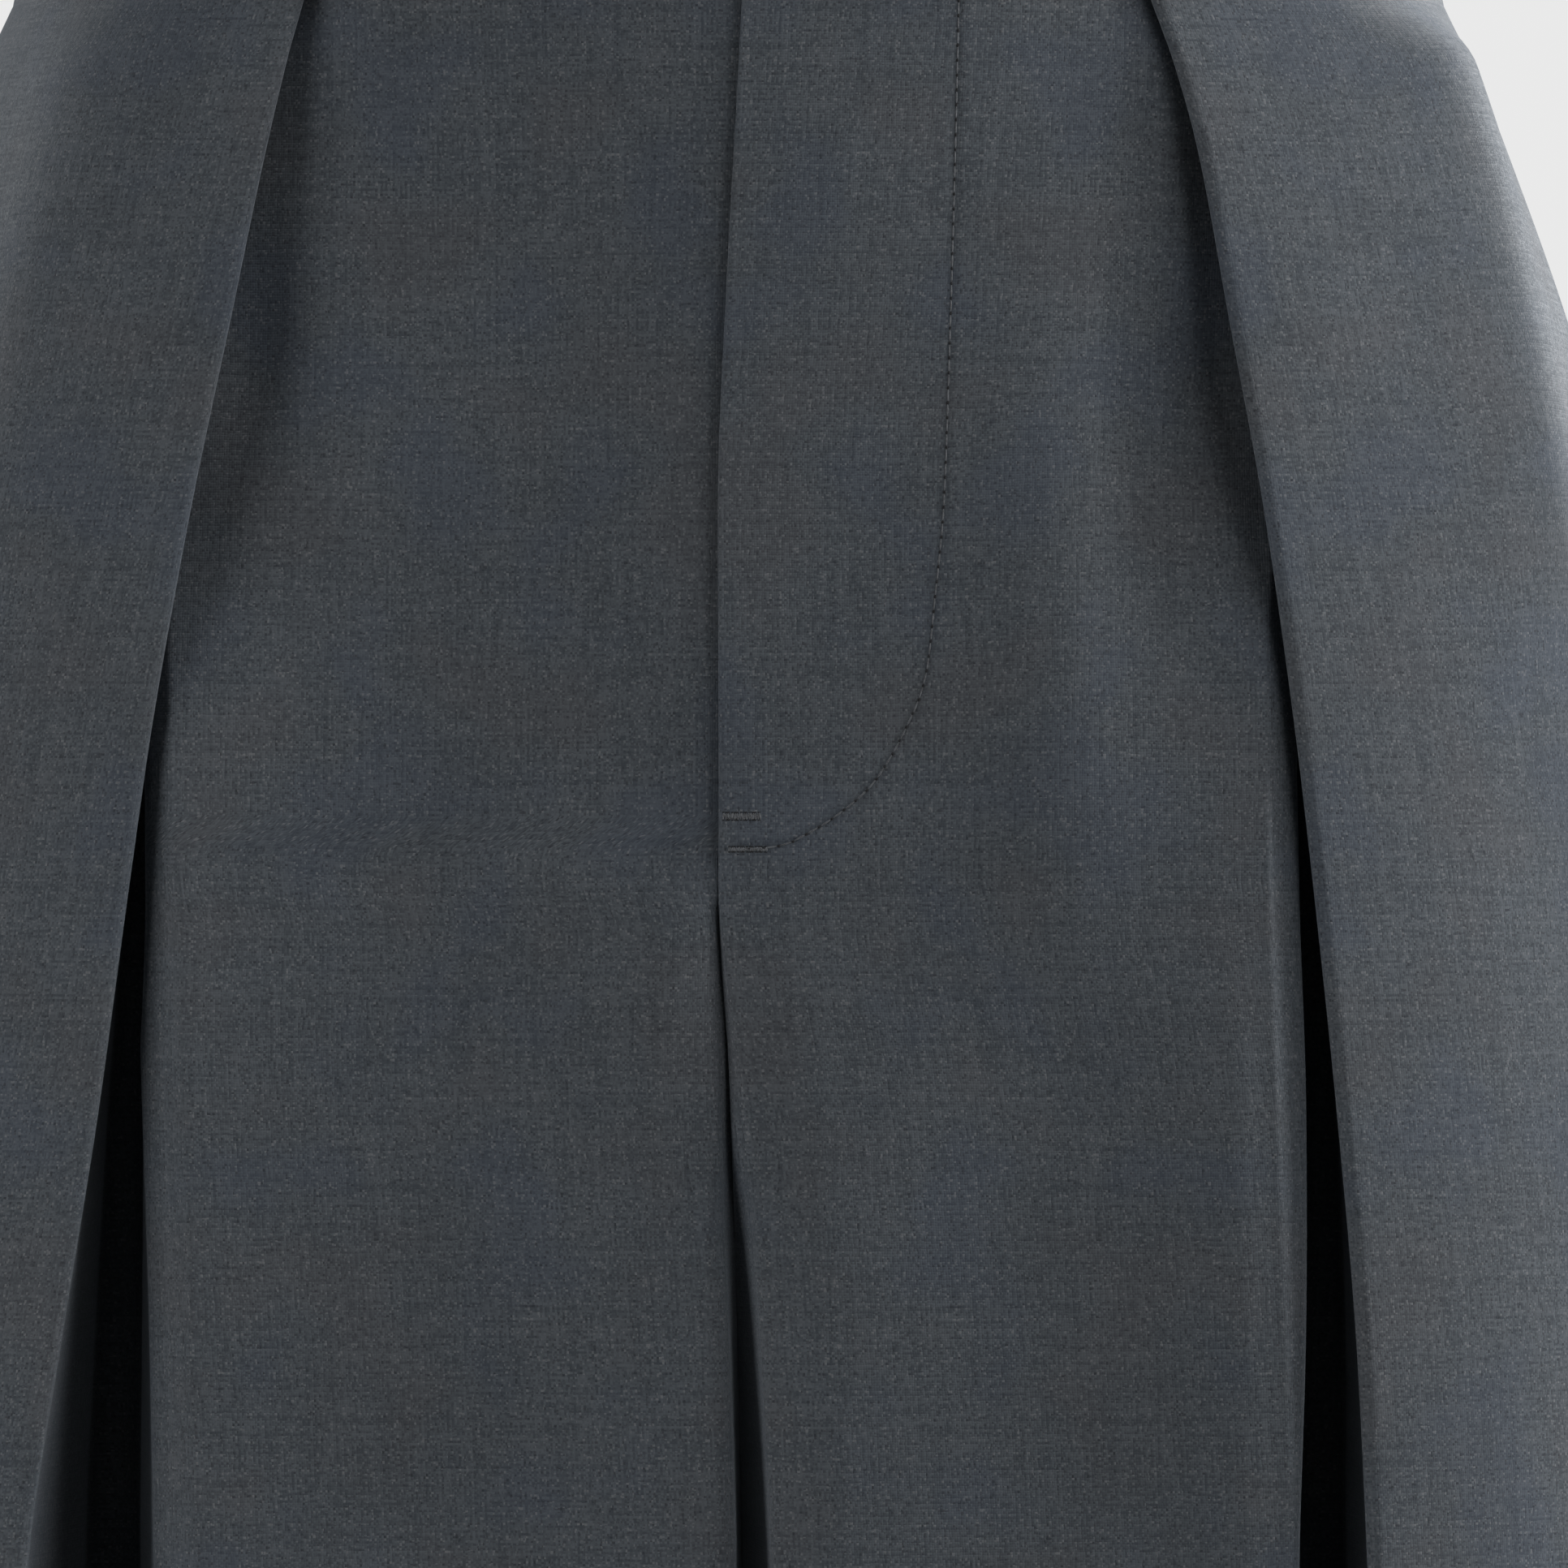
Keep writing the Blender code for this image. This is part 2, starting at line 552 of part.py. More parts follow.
def waist_button(band):
    """A turned button, a little dished, lying on the top half of the band."""
    reach = BUTTON_X - band[0][0]
    (x, y), heading = point_along(band, reach)
    rim, rise = BUTTON_RADIUS, BUTTON_DEPTH
    profile = ((0, rise * 0.7), (rim * 0.6, rise * 0.7), (rim * 0.75, rise), (rim * 0.9, rise),
               (rim, rise * 0.7), (rim, rise * 0.3), (rim * 0.85, 0), (0, 0))
    mesh = bpy.data.meshes.new("waist_button")
    mesh.from_pydata([(MM * r, 0, MM * h) for r, h in profile], [(i, i + 1) for i in range(7)], [])
    mesh.materials.append(material("waist_button", (0.03, 0.032, 0.036), 0.35))
    button = bpy.data.objects.new("waist_button", mesh)
    trousers.objects.link(button)
    turned = button.modifiers.new("turned", "SCREW")
    turned.steps = turned.render_steps = 28
    turned.use_merge_vertices = True
    turned.merge_threshold = 0.00005
    turned.use_normal_calculate = True
    button.location = [MM * value for value in (*moved((x, y), heading - 90, SEAM_GAP), 0)]
    button.rotation_euler = (math.pi / 2, 0, math.radians(heading))


trousers = bpy.data.collections.new("oversized_trousers")
joined_pieces = bpy.data.collections.new("joined_pieces")


def main():
    for old in list(bpy.data.objects):
        bpy.data.objects.remove(old, do_unlink=True)
    for collection in (trousers, joined_pieces):
        bpy.context.scene.collection.children.link(collection)
    panel("front_left", 1, front_points, False)
    panel("front_right", -1, front_points, True)
    panel("back_left", 1, back_points, True)
    panel("back_right", -1, back_points, False)
    top_line, under_line = band_lines()
    waistband("waistband_left", 1, top_line, 30, False)
    waistband("waistband_right", -1, under_line, 36, True)
    fly_strip("fly_shield", shield_edges, FLY_TOP, FLY_TOP + SHIELD_LENGTH,
              TAPE_INSET + TAPE_WALL + SEAM_GAP, CLOTH, material("fly_shield", WOOL, 0.85))
    zip_fastener()
    waist_button(top_line)


main()
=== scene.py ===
import math
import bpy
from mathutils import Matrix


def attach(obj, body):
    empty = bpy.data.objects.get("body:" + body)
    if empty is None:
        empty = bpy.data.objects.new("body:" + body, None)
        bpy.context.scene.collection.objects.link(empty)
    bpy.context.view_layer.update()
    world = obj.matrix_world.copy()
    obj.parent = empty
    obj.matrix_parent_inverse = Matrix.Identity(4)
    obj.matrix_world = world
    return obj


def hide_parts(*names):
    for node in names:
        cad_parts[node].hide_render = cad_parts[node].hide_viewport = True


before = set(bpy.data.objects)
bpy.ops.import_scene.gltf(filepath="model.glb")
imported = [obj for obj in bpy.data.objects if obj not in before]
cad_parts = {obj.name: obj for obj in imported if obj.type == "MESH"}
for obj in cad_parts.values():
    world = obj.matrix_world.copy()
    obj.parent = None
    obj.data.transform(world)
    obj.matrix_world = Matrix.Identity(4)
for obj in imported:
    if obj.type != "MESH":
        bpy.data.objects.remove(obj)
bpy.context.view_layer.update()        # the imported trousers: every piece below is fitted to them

from types import SimpleNamespace

import bpy
import numpy as np
from mathutils import Matrix, Vector

mm = 0.001

# Oversized pleated trousers in charcoal wool, worn and hollow. Sizes are in millimetres, and a
# drop is the distance below the seam of the waistband. The front is towards -Y.
cut = {
    "bandHeight": 40.0, "bandWall": 2.4, "bandProud": 0.5, "bandJoin": 14.0, "bandUnderlap": 38.0,
    "bandAir": 0.3, "uprightDrop": 2.0, "easeDrop": 14.0, "topDrop": 20.3, "flyDrop": 153.0,
    "flushDrop": 161.0, "underlapDrop": 148.0, "underlapX": 5.5, "crotchDrop": 306.0, "crotchY": 8.0,
    "seatCurveDrop": 190.0, "hemDrop": 1030.0, "lipEase": 60.0, "tuckFlatDrop": 30.0, "tuckReach": 42.0,
    "tuckAir": 0.9, "topLayerProud": 1.0, "underLayerSunk": 1.5, "creaseRound": 2.4, "seamAllowance": 3.0,
}
panelTop = -cut["topDrop"]

bodyNames = ("drop", "frontY", "backY", "sideX", "sideY")
bodyRows = (
    (0, -97, 97, 129, 0),
    (30, -100, 103, 140.6, 0),
    (60, -103, 109, 151.5, 0),
    (95, -106, 114, 162, 0),
    (133, -108, 119, 171.5, 0),
    (200, -110, 123, 183, 0),
    (278, -111, 121, 190.5, 0),
    (380, -110, 113, 196, -1),
    (520, -108, 103, 200, -2),
    (760, -103, 88, 203, -5),
    (1030, -98, 74, 205, -8),
)
# the centre seam, the rounded lips of the slit below it, and the seat seam behind
slitNames = ("drop", "seamX", "leftLip", "rightLip", "lipRound", "backSeam", "backLip", "backRound")
slitRows = (
    (0, 2.9, 0, 2.9, 3.0, 0, 0.15, 4),
    (26, 1.6, 0, 1.6, 3.0, 0, 0.15, 4),
    (51, 0.2, 0, 0.2, 3.0, 0, 0.15, 4),
    (95, -1.5, 0, -1.5, 3.0, 0, 0.15, 4),
    (148, -1.3, 0, -1.3, 3.0, 0, 0.15, 4),
    (160, -1.4, -1.55, -1.25, 3.0, 0, 0.15, 4),
    (174, -0.8, -1.2, -0.3, 3.2, 0, 0.15, 5),
    (189, 0.3, -0.9, 1.7, 3.5, 0, 0.15, 6),
    (207, 1.0, -0.6, 3.7, 3.8, 0.1, 0.4, 8),
    (244, 2.0, 0.8, 6.2, 4.2, 0.9, 2.2, 12),
    (278, 2.6, 1.7, 7.8, 4.5, 2.0, 3.8, 15),
    (306, 2.9, 1.8, 8.4, 5.5, 2.9, 5, 17),
    (380, 2.9, -2, 10, 9, 2.9, 8, 20),
    (520, 2.9, -7, 12, 15, 2.9, 12, 23),
    (760, 2.9, -12, 15, 20, 2.9, 16, 25),
    (1030, 2.9, -15, 17, 22, 2.9, 19, 26),
)
# the pleats: inner is the crease of the under panel, valley the deepest fold, outer the top edge
pleatNames = ("drop", "innerX", "innerIn", "valleyX", "valleyIn", "outerX", "outerIn")
leftFrontPleat = (
    (0, 84, 18, 107, 35, 73, 9.6),
    (30, 92, 17, 111.5, 32, 81.8, 7.8),
    (60, 95, 15, 110, 32, 87.2, 4.5),
    (95, 94.5, 11.5, 105, 37, 93.4, 3),
    (133, 93.4, 8, 102, 42, 98.7, 3),
    (160, 93.8, 6, 102.5, 46, 101.8, 2.5),
    (200, 95, 5, 104.3, 50, 105.9, 2),
    (240, 96.4, 5, 105, 53, 109.2, 1),
    (278, 97.2, 5, 104.5, 54, 111, 0),
    (380, 97, 5, 106, 52, 115, 0),
    (520, 94, 6, 108, 45, 121, 0),
    (760, 91, 7, 110, 36, 128, 1),
    (1030, 90, 8, 112, 27, 134, 2),
)
rightFrontPleat = (
    (0, 84, 18, 107, 35, 73, 9.6),
    (30, 90, 17, 110.5, 32, 80, 7.8),
    (60, 94, 15, 109.5, 32, 86, 4.5),
    (95, 96, 11.5, 106, 37, 93.1, 3),
    (133, 96.3, 8, 104, 42, 99.8, 3),
    (160, 94.7, 6, 104, 46, 103.6, 2.5),
    (200, 93.5, 5, 106, 50, 109, 2),
    (240, 92.2, 5, 107.5, 53, 115.4, 1),
    (278, 91.5, 5, 108.5, 54, 121, 0),
    (380, 90, 5, 109, 52, 127, 0),
    (520, 89, 6, 110, 45, 130, 0),
    (760, 88, 7, 111, 36, 133, 1),
    (1030, 88, 8, 112, 27, 137, 2),
)
# headings of the cloth at each fold in degrees, 0 outwards and 90 backwards
foldNames = ("drop", "innerFrom", "innerTo", "valleyFrom", "valleyTo", "outerFrom", "outerTo",
             "innerRound", "valleyRound", "outerRound")
foldRows = (
    (0, 17, 22, 47, -133, -158, 22, 2.2, 0.45, 1.8),
    (30, 15, 22, 50, -128, -156, 22, 2.2, 1.0, 1.8),
    (60, 11, 28, 60, -116, -150, 22, 2.2, 1.6, 1.8),
    (95, 6, 46, 76, -102, -138, 22, 2.2, 2.2, 1.8),
    (133, 3, 58, 87, -92, -112, 21, 2.2, 2.6, 1.9),
    (160, 3, 62, 90, -89, -98, 20, 2.2, 2.8, 2.0),
    (278, 2, 66, 91, -86, -95, 20, 2.2, 5.0, 2.2),
    (520, 2, 60, 84, -80, -82, 22, 2.4, 7.5, 2.6),
    (1030, 2, 50, 75, -75, -65, 25, 3.0, 10.0, 3.2),
)
backNames = ("drop", "creaseX", "creaseIn", "creaseFrom", "creaseTo")
backRows = (
    (0, 62, 10, 19, 21),
    (60, 72, 10, 17, 21),
    (133, 84, 9, 13, 23),
    (200, 91, 7, 9, 25),
    (278, 96, 5, 6, 27),
    (520, 102, 4, 4, 28),
    (1030, 106, 4, 4, 30),
)


def gentleSlopes(places, values):
    steps = [(b - a) / (q - p) for a, b, p, q in zip(values, values[1:], places, places[1:])]
    slopes = [steps[0]]
    for before, after in zip(steps, steps[1:]):
        slopes.append(2 * before * after / (before + after) if before * after > 0 else 0.0)
    return slopes + [steps[-1]]


class Sizes:
    # a table of named sizes by drop, read smoothly between its rows
    def __init__(self, names, rows):
        self.names = names[1:]
        self.drops, *self.columns = zip(*rows)
        self.slopes = [gentleSlopes(self.drops, column) for column in self.columns]

    def at(self, drop):
        last = len(self.drops) - 2
        i = max(k for k in range(last + 1) if k == 0 or self.drops[k] <= drop)
        span = self.drops[i + 1] - self.drops[i]
        t = (drop - self.drops[i]) / span
        found = {}
        for name, column, slopes in zip(self.names, self.columns, self.slopes):
            found[name] = (
                column[i] * (2 * t**3 - 3 * t**2 + 1) + column[i + 1] * (3 * t**2 - 2 * t**3)
                + span * (slopes[i] * (t**3 - 2 * t**2 + t) + slopes[i + 1] * (t**3 - t**2))
            )
        return SimpleNamespace(**found)


bodySizes = Sizes(bodyNames, bodyRows)
slitSizes = Sizes(slitNames, slitRows)
foldSizes = Sizes(foldNames, foldRows)
backSizes = Sizes(backNames, backRows)
pleatSizes = {1: Sizes(pleatNames, leftFrontPleat), -1: Sizes(pleatNames, rightFrontPleat)}


# how many steps an arc and a fair curve have
arcSteps, curveSteps = 16, 40


def moved(point, heading, distance):
    angle = math.radians(heading)
    return (point[0] + distance * math.cos(angle), point[1] + distance * math.sin(angle))


def foldArc(centre, radius, start, end, hollow=False):
    side = 90 if hollow else -90
    return [moved(centre, start + (end - start) * i / arcSteps + side, radius) for i in range(arcSteps + 1)]


def halves(arc):
    middle = len(arc) // 2
    return arc[:middle + 1], arc[middle:]


def fairCurve(start, heading, end, endHeading, pull=0.38):
    reach = pull * math.dist(start, end)
    corners = (start, moved(start, heading, reach), moved(end, endHeading, -reach), end)
    t = np.linspace(0, 1, curveSteps + 1)[:, None]
    weights = np.hstack([(1 - t) ** 3, 3 * t * (1 - t) ** 2, 3 * t**2 * (1 - t), t**3])
    return [tuple(point) for point in (weights @ np.array(corners)).tolist()]


def pointAlong(curve, distance):
    for a, b in zip(curve, curve[1:]):
        step = math.dist(a, b)
        if distance <= step:
            break
        distance -= step
    share = min(distance / step, 1.0) if step else 0.0
    heading = math.degrees(math.atan2(b[1] - a[1], b[0] - a[0]))
    return (a[0] + share * (b[0] - a[0]), a[1] + share * (b[1] - a[1])), heading


def curveLength(curve):
    return sum(math.dist(a, b) for a, b in zip(curve, curve[1:]))


def mixed(a, b, share):
    return tuple(p + (q - p) * share for p, q in zip(a, b))


def smoothStep(low, high, value):
    t = np.clip((value - low) / (high - low), 0, 1)
    return t * t * (3 - 2 * t)


def slitStart(edge, lipX, face, radius):
    depth = edge[1] - face
    square = moved(edge, -90, min(max(depth - 2 * radius, 0), cut["seamAllowance"]))
    centre = (lipX + radius, face + radius)
    towards = math.degrees(math.atan2(centre[1] - square[1], centre[0] - square[0]))
    heading = towards - math.degrees(math.asin(min(radius / math.dist(square, centre), 1.0)))
    first, second = halves(foldArc(centre, radius, heading, 0))
    return [edge, square] + first, second


def depthOfSeam(drop, topDrop, depth):
    share = min(max((drop - topDrop) / (cut["crotchDrop"] - topDrop), 0.0), 1.0)
    return depth * (1 - math.sqrt(1 - share**2))


# where a pleat opens, its inner crease stands forward, and the cloth beyond it faces half
# forwards before it turns in
openStrip = {"start": {1: (84, 130), -1: (94, 140)}, "end": (320, 620), "heading": 43, "turnTo": 88,
             "most": 9.0, "turn": 2.4, "spare": 0.2, "round": 1.0, "lift": {1: 5.4, -1: 4.4}, "bow": 7.0}


def pleatOpening(side, drop):
    return float(smoothStep(*openStrip["start"][side], drop) * (1 - smoothStep(*openStrip["end"], drop)))


def stripAndTurn(start, heading, turned, valleyStart, share):
    turn = foldArc((0, 0), openStrip["turn"], heading, turned)
    room = valleyStart[0] - start[0] - openStrip["spare"] - (turn[-1][0] - turn[0][0])
    length = min(max(room / math.cos(math.radians(heading)), 0.0), openStrip["most"]) * share
    end = moved(start, heading, length)
    return [start, end] + [(end[0] + x - turn[0][0], end[1] + y - turn[0][1]) for x, y in turn[1:]]


# the fly's edge is pressed round a little, with the cloth turned under it
flyEdge = {"turn": 1.7, "round": 0.75, "end": (147, 181)}
# below the fly the seam lies in a narrow groove, and the left front's lip is sharper and stands proud
slitGroove = {"deep": 2.8, "start": (156, 169), "sharp": 0.35, "sharpEnd": (300, 520),
              "proud": 0.5, "proudStart": (166, 225), "proudEnd": (380, 620)}


def frontEdge(side, drop):
    body, slit = bodySizes.at(drop), slitSizes.at(drop)
    lapped = min(max((cut["flushDrop"] - drop) / (cut["flushDrop"] - cut["flyDrop"]), 0.0), 1.0)
    radius, turn = slit.lipRound, 0.0
    if side > 0:
        proud = smoothStep(*slitGroove["proudStart"], drop) * (1 - smoothStep(*slitGroove["proudEnd"], drop))
        face = body.frontY - cut["topLayerProud"] * lapped - slitGroove["proud"] * proud
        edgeX, lipX = slit.seamX, slit.rightLip
        pressed = 1 - smoothStep(*flyEdge["end"], drop)
        radius *= slitGroove["sharp"] + (1 - slitGroove["sharp"]) * smoothStep(*slitGroove["sharpEnd"], drop)
        radius += (flyEdge["round"] - radius) * pressed
        turn = flyEdge["turn"] * pressed
    else:
        face = body.frontY + cut["underLayerSunk"] * lapped
        edgeX, lipX = -slit.seamX, -slit.leftLip
        reach = (cut["flyDrop"] - drop) / (cut["flyDrop"] - cut["underlapDrop"])
        edgeX += (-cut["underlapX"] - edgeX) * min(max(reach, 0.0), 1.0)
    if drop > cut["crotchDrop"]:
        edgeX += (lipX - edgeX) * (1 - math.exp((cut["crotchDrop"] - drop) / cut["lipEase"]))
    lipX = edgeX if drop < cut["flushDrop"] else max(lipX, edgeX)
    back = depthOfSeam(drop, cut["flushDrop"], cut["crotchY"] - bodySizes.at(cut["crotchDrop"]).frontY)
    back = math.hypot(back, slitGroove["deep"] * smoothStep(*slitGroove["start"], drop))
    return (edgeX, min(face + max(back, turn), cut["crotchY"])), lipX, face, radius


def frontSection(side, drop):
    body, pleat, fold = bodySizes.at(drop), pleatSizes[side].at(drop), foldSizes.at(drop)
    seamEnd = (body.sideX, body.sideY)

    outer = (pleat.outerX + fold.outerRound, body.frontY + pleat.outerIn)
    outerArc = foldArc(outer, fold.outerRound, fold.outerFrom, fold.outerTo)
    outerPanel = fairCurve(outerArc[-1], fold.outerTo, seamEnd, 90)

    # at the waist the tuck lies flat behind the outer panel
    flat = max(1 - drop / cut["tuckFlatDrop"], 0.0)
    depth = 2 * fold.outerRound + cut["tuckAir"]
    onPanel, heading = pointAlong(outerPanel, cut["tuckReach"])
    tucked = moved(onPanel, heading + 90, depth - fold.valleyRound)
    valley = mixed((pleat.valleyX, body.frontY + pleat.valleyIn), tucked, flat)
    valleyFrom = fold.valleyFrom + (heading - fold.valleyFrom) * flat
    valleyTo = fold.valleyTo + (heading - 180 - fold.valleyTo) * flat
    valleyArc = foldArc(valley, fold.valleyRound, valleyFrom, valleyTo, hollow=True)

    onPanel, heading = pointAlong(outerPanel, cut["tuckReach"] / 3)
    tucked = moved(onPanel, heading + 90, depth + fold.innerRound)
    opening = pleatOpening(side, drop)
    innerRound = fold.innerRound + (openStrip["round"] - fold.innerRound) * opening
    innerY = body.frontY + pleat.innerIn + innerRound - openStrip["lift"][side] * opening
    inner = mixed((pleat.innerX, innerY), tucked, flat)
    innerTo = fold.innerTo + (heading - fold.innerTo) * flat
    innerTo += (openStrip["heading"] - innerTo) * opening
    innerFrom = fold.innerFrom + (heading - fold.innerFrom) * flat - openStrip["bow"] * opening
    innerArc = foldArc(inner, innerRound, innerFrom, innerTo)

    edgeRun, lipArc = slitStart(*frontEdge(side, drop))
    innerPanel = fairCurve(lipArc[-1], 0, innerArc[0], innerFrom)
    strip, stripTo = [], innerTo + (openStrip["turnTo"] - innerTo) * opening
    if opening > 0:
        strip = stripAndTurn(innerArc[-1], innerTo, stripTo, valleyArc[0], opening)
    tuckIn = strip + fairCurve(strip[-1] if strip else innerArc[-1], stripTo, valleyArc[0], valleyFrom)
    tuckOut = fairCurve(valleyArc[-1], valleyTo, outerArc[0], fold.outerFrom)
    innerArc, valleyArc, outerArc = halves(innerArc), halves(valleyArc), halves(outerArc)
    return (edgeRun, lipArc + innerPanel + innerArc[0], innerArc[1] + tuckIn + valleyArc[0],
            valleyArc[1] + tuckOut + outerArc[0], outerArc[1] + outerPanel)


def backSection(side, drop):
    body, slit, back = bodySizes.at(drop), slitSizes.at(drop), backSizes.at(drop)
    face, seamY = -body.backY, -cut["crotchY"]
    # 0.0 is added so that the middle isn't a minus zero, which points the other way
    edgeX = side * slit.backSeam + 0.0
    if drop > cut["crotchDrop"]:
        edgeX = frontEdge(side, drop)[0][0]
    depth = bodySizes.at(cut["crotchDrop"]).backY + seamY
    edgeY = min(face + depthOfSeam(drop, cut["seatCurveDrop"], depth), seamY)
    edgeRun, lipArc = slitStart((edgeX, edgeY), edgeX + slit.backLip, face, slit.backRound)
    crease = (back.creaseX, face + back.creaseIn + cut["creaseRound"])
    creaseArc = foldArc(crease, cut["creaseRound"], back.creaseFrom, back.creaseTo)
    seamEnd = (body.sideX, -body.sideY)
    seatPanel = fairCurve(lipArc[-1], 0, creaseArc[0], back.creaseFrom)
    sidePanel = fairCurve(creaseArc[-1], back.creaseTo, seamEnd, 90)
    toCrease, fromCrease = halves(creaseArc)
    return edgeRun, lipArc + seatPanel + toCrease, fromCrease + sidePanel


def spaced(run, nearStart, nearEnd, count):
    # points along a run: some close to each end, and an even row between them
    run = np.array(run)
    along = np.concatenate([[0], np.cumsum(np.hypot(*np.diff(run, axis=0).T))])
    squeeze = min(0.8 * along[-1] / (nearStart[-1] + nearEnd[-1]), 1.0)
    starts = squeeze * np.array(nearStart)
    ends = along[-1] - squeeze * np.array(nearEnd[::-1])
    even = np.linspace(starts[-1], ends[0], count + 1)[1:-1]
    stops = np.concatenate([starts, even, ends[:-1] if nearEnd[0] == 0 else ends])
    return np.interp(stops, along, run[:, 0]), np.interp(stops, along, run[:, 1]), stops, along[-1]


# how fine the cloth is: points beside the folds and between them, and where its rows lie
clothMesh = {
    "frontCounts": (7, 56, 9, 9, 34), "backCounts": (6, 26, 34), "edgeStops": (0, 0.5, 1.1, 2.0, 3.4),
    "seamStops": (0.65, 1.2, 2.0, 3.4), "stripStops": (3.2, 4.6, 6.0, 7.4, 8.8, 10.2, 12.0, 14.5),
    "foldStops": (0, 0.3, 0.6, 0.85, 1.1, 1.5), "foldLeast": 1.2, "lipTurn": 90, "valleyTurn": 178,
    "creaseTurn": 30, "topDrops": (0, 0.6, 1.3, 2.1, 3.2, 4.6), "fineEnd": 292.0, "coarseStep": 11.0,
    "wall": 0.6,
}


def roundStops(radius, turn):
    half = max(math.radians(abs(turn)) * radius / 2, clothMesh["foldLeast"])
    return tuple(half * share for share in clothMesh["foldStops"])


def frontStops(side, drop):
    fold = foldSizes.at(drop)
    inner = roundStops(fold.innerRound, fold.innerTo - fold.innerFrom)
    valley = roundStops(fold.valleyRound, clothMesh["valleyTurn"])
    outer = roundStops(fold.outerRound, fold.outerTo - fold.outerFrom)
    lip = roundStops(frontEdge(side, drop)[3], clothMesh["lipTurn"])
    starts = (clothMesh["edgeStops"], lip, inner + clothMesh["stripStops"], valley, outer)
    return list(zip(starts, (lip, inner, valley, outer, clothMesh["seamStops"]), clothMesh["frontCounts"]))


def backStops(side, drop):
    lip = roundStops(slitSizes.at(drop).backRound, clothMesh["lipTurn"])
    crease = roundStops(cut["creaseRound"], clothMesh["creaseTurn"])
    starts = (clothMesh["edgeStops"], lip, crease)
    return list(zip(starts, (lip, crease, clothMesh["seamStops"]), clothMesh["backCounts"]))


def clothDrops(fine):
    top = list(clothMesh["topDrops"])
    fineCount = round((clothMesh["fineEnd"] - top[-1]) / fine)
    last = cut["hemDrop"] - turning["round"]
    coarseCount = round((last - clothMesh["fineEnd"]) / clothMesh["coarseStep"])
    return np.concatenate([top[:-1], np.linspace(top[-1], clothMesh["fineEnd"], fineCount + 1)[:-1],
                           np.linspace(clothMesh["fineEnd"], last, coarseCount + 1)])


def sectionDrop(drop):
    # the first rows stand upright under the band, as its seam holds them
    upright, ease = cut["uprightDrop"], cut["easeDrop"]
    if drop < ease:
        return max(drop - upright, 0) * ease / (ease - upright)
    return drop


# Creases, listed one by one. reach is the distance along the cloth from the start of its region: the
# inner panel from the fly, the outer panel from the pleat's edge and the back from the seat seam.
# near and far are the widths towards that start and away from it, and a trough has a negative rise.
creaseNames = ("reach", "drop", "reachEnd", "dropEnd", "near", "far", "rise", "fade")
creases = {
    "front_left": {
        "inner": (
            (58, 42, 60, 160, 17, 15, 4.6, 42),
            (84, 165, 80, 340, 34, 16, 1.5, 50),
            (12.5, 185, 12, 420, 8, 28, 3.0, 30),
            (74, 0, 78, 34, 12, 9, 1.0, 14),
            (82, 58, 86, 84, 9, 8, -1.7, 14),
        ),
        "outer": (
            (69, -20, 60, 110, 24, 20, 6.0, 30),
            (62, 150, 50, 330, 16, 20, -1.4, 60),
            (96, 40, 84, 240, 18, 16, 1.5, 60),
        ),
    },
    "front_right": {
        "inner": (
            (41, 15, 38, 340, 21, 28, -4.3, 60),
            (84, 54, 87, 82, 9, 8, -1.9, 14),
            (6, 160, 11, 212, 5, 7, 1.2, 18),
        ),
        "outer": (
            (42, 0, 44, 120, 22, 18, 3.0, 40),
            (58, 70, 54, 300, 17, 20, -1.3, 80),
            (92, 30, 88, 220, 17, 18, 1.6, 60),
        ),
    },
    "back_left": {
        "seat": (
            (22, 205, 66, 345, 11, 17, 3.6, 45),
            (12, 262, 50, 430, 10, 13, -3.0, 50),
            (46, 225, 92, 470, 13, 15, -2.6, 60),
            (34, 470, 44, 700, 20, 24, 2.2, 90),
        ),
        "side": (
            (26, 120, 34, 380, 16, 22, 2.6, 70),
            (66, 30, 50, 280, 16, 20, 2.9, 60),
            (40, 420, 58, 640, 20, 26, -2.4, 90),
        ),
    },
    "back_right": {
        "seat": (
            (20, 228, 60, 352, 12, 15, 3.3, 45),
            (10, 275, 44, 415, 9, 12, -2.8, 50),
            (44, 246, 84, 450, 13, 16, -2.9, 60),
            (30, 520, 38, 780, 20, 24, 2.0, 90),
        ),
        "side": (
            (34, 150, 28, 400, 17, 21, 2.4, 70),
            (68, 40, 56, 250, 15, 19, 3.0, 60),
            (48, 470, 36, 700, 22, 24, -2.2, 90),
        ),
    },
}


def creaseRelief(rows, reach, drop):
    relief = np.zeros_like(reach)
    for row in rows:
        crease = SimpleNamespace(**dict(zip(creaseNames, row)))
        length = math.hypot(crease.reachEnd - crease.reach, crease.dropEnd - crease.drop)
        alongX = (crease.reachEnd - crease.reach) / length
        alongZ = (crease.dropEnd - crease.drop) / length
        run = (reach - crease.reach) * alongX + (drop - crease.drop) * alongZ
        off = (reach - crease.reach) * alongZ - (drop - crease.drop) * alongX
        width = np.where(off > 0, crease.far, crease.near)
        window = smoothStep(-crease.fade, crease.fade, run)
        window = window * (1 - smoothStep(length - crease.fade, length + crease.fade, run))
        relief += crease.rise * np.exp(-((off / width) ** 2)) * window
    return relief


def panelGrid(side, sectionAt, stopsAt, drops):
    # rows of points down the panel, with the run, the place in it and the drop of each point
    columns = []
    for drop in drops:
        at = sectionDrop(drop)
        runs = sectionAt(side, at)
        row = []
        for index, (run, stops) in enumerate(zip(runs, stopsAt(side, at))):
            x, y, place, length = spaced(run, *stops)
            row.append(np.stack([x, y, place, length - place, np.full_like(x, index)], axis=1))
        columns.append(np.concatenate(row))
    return np.stack(columns)


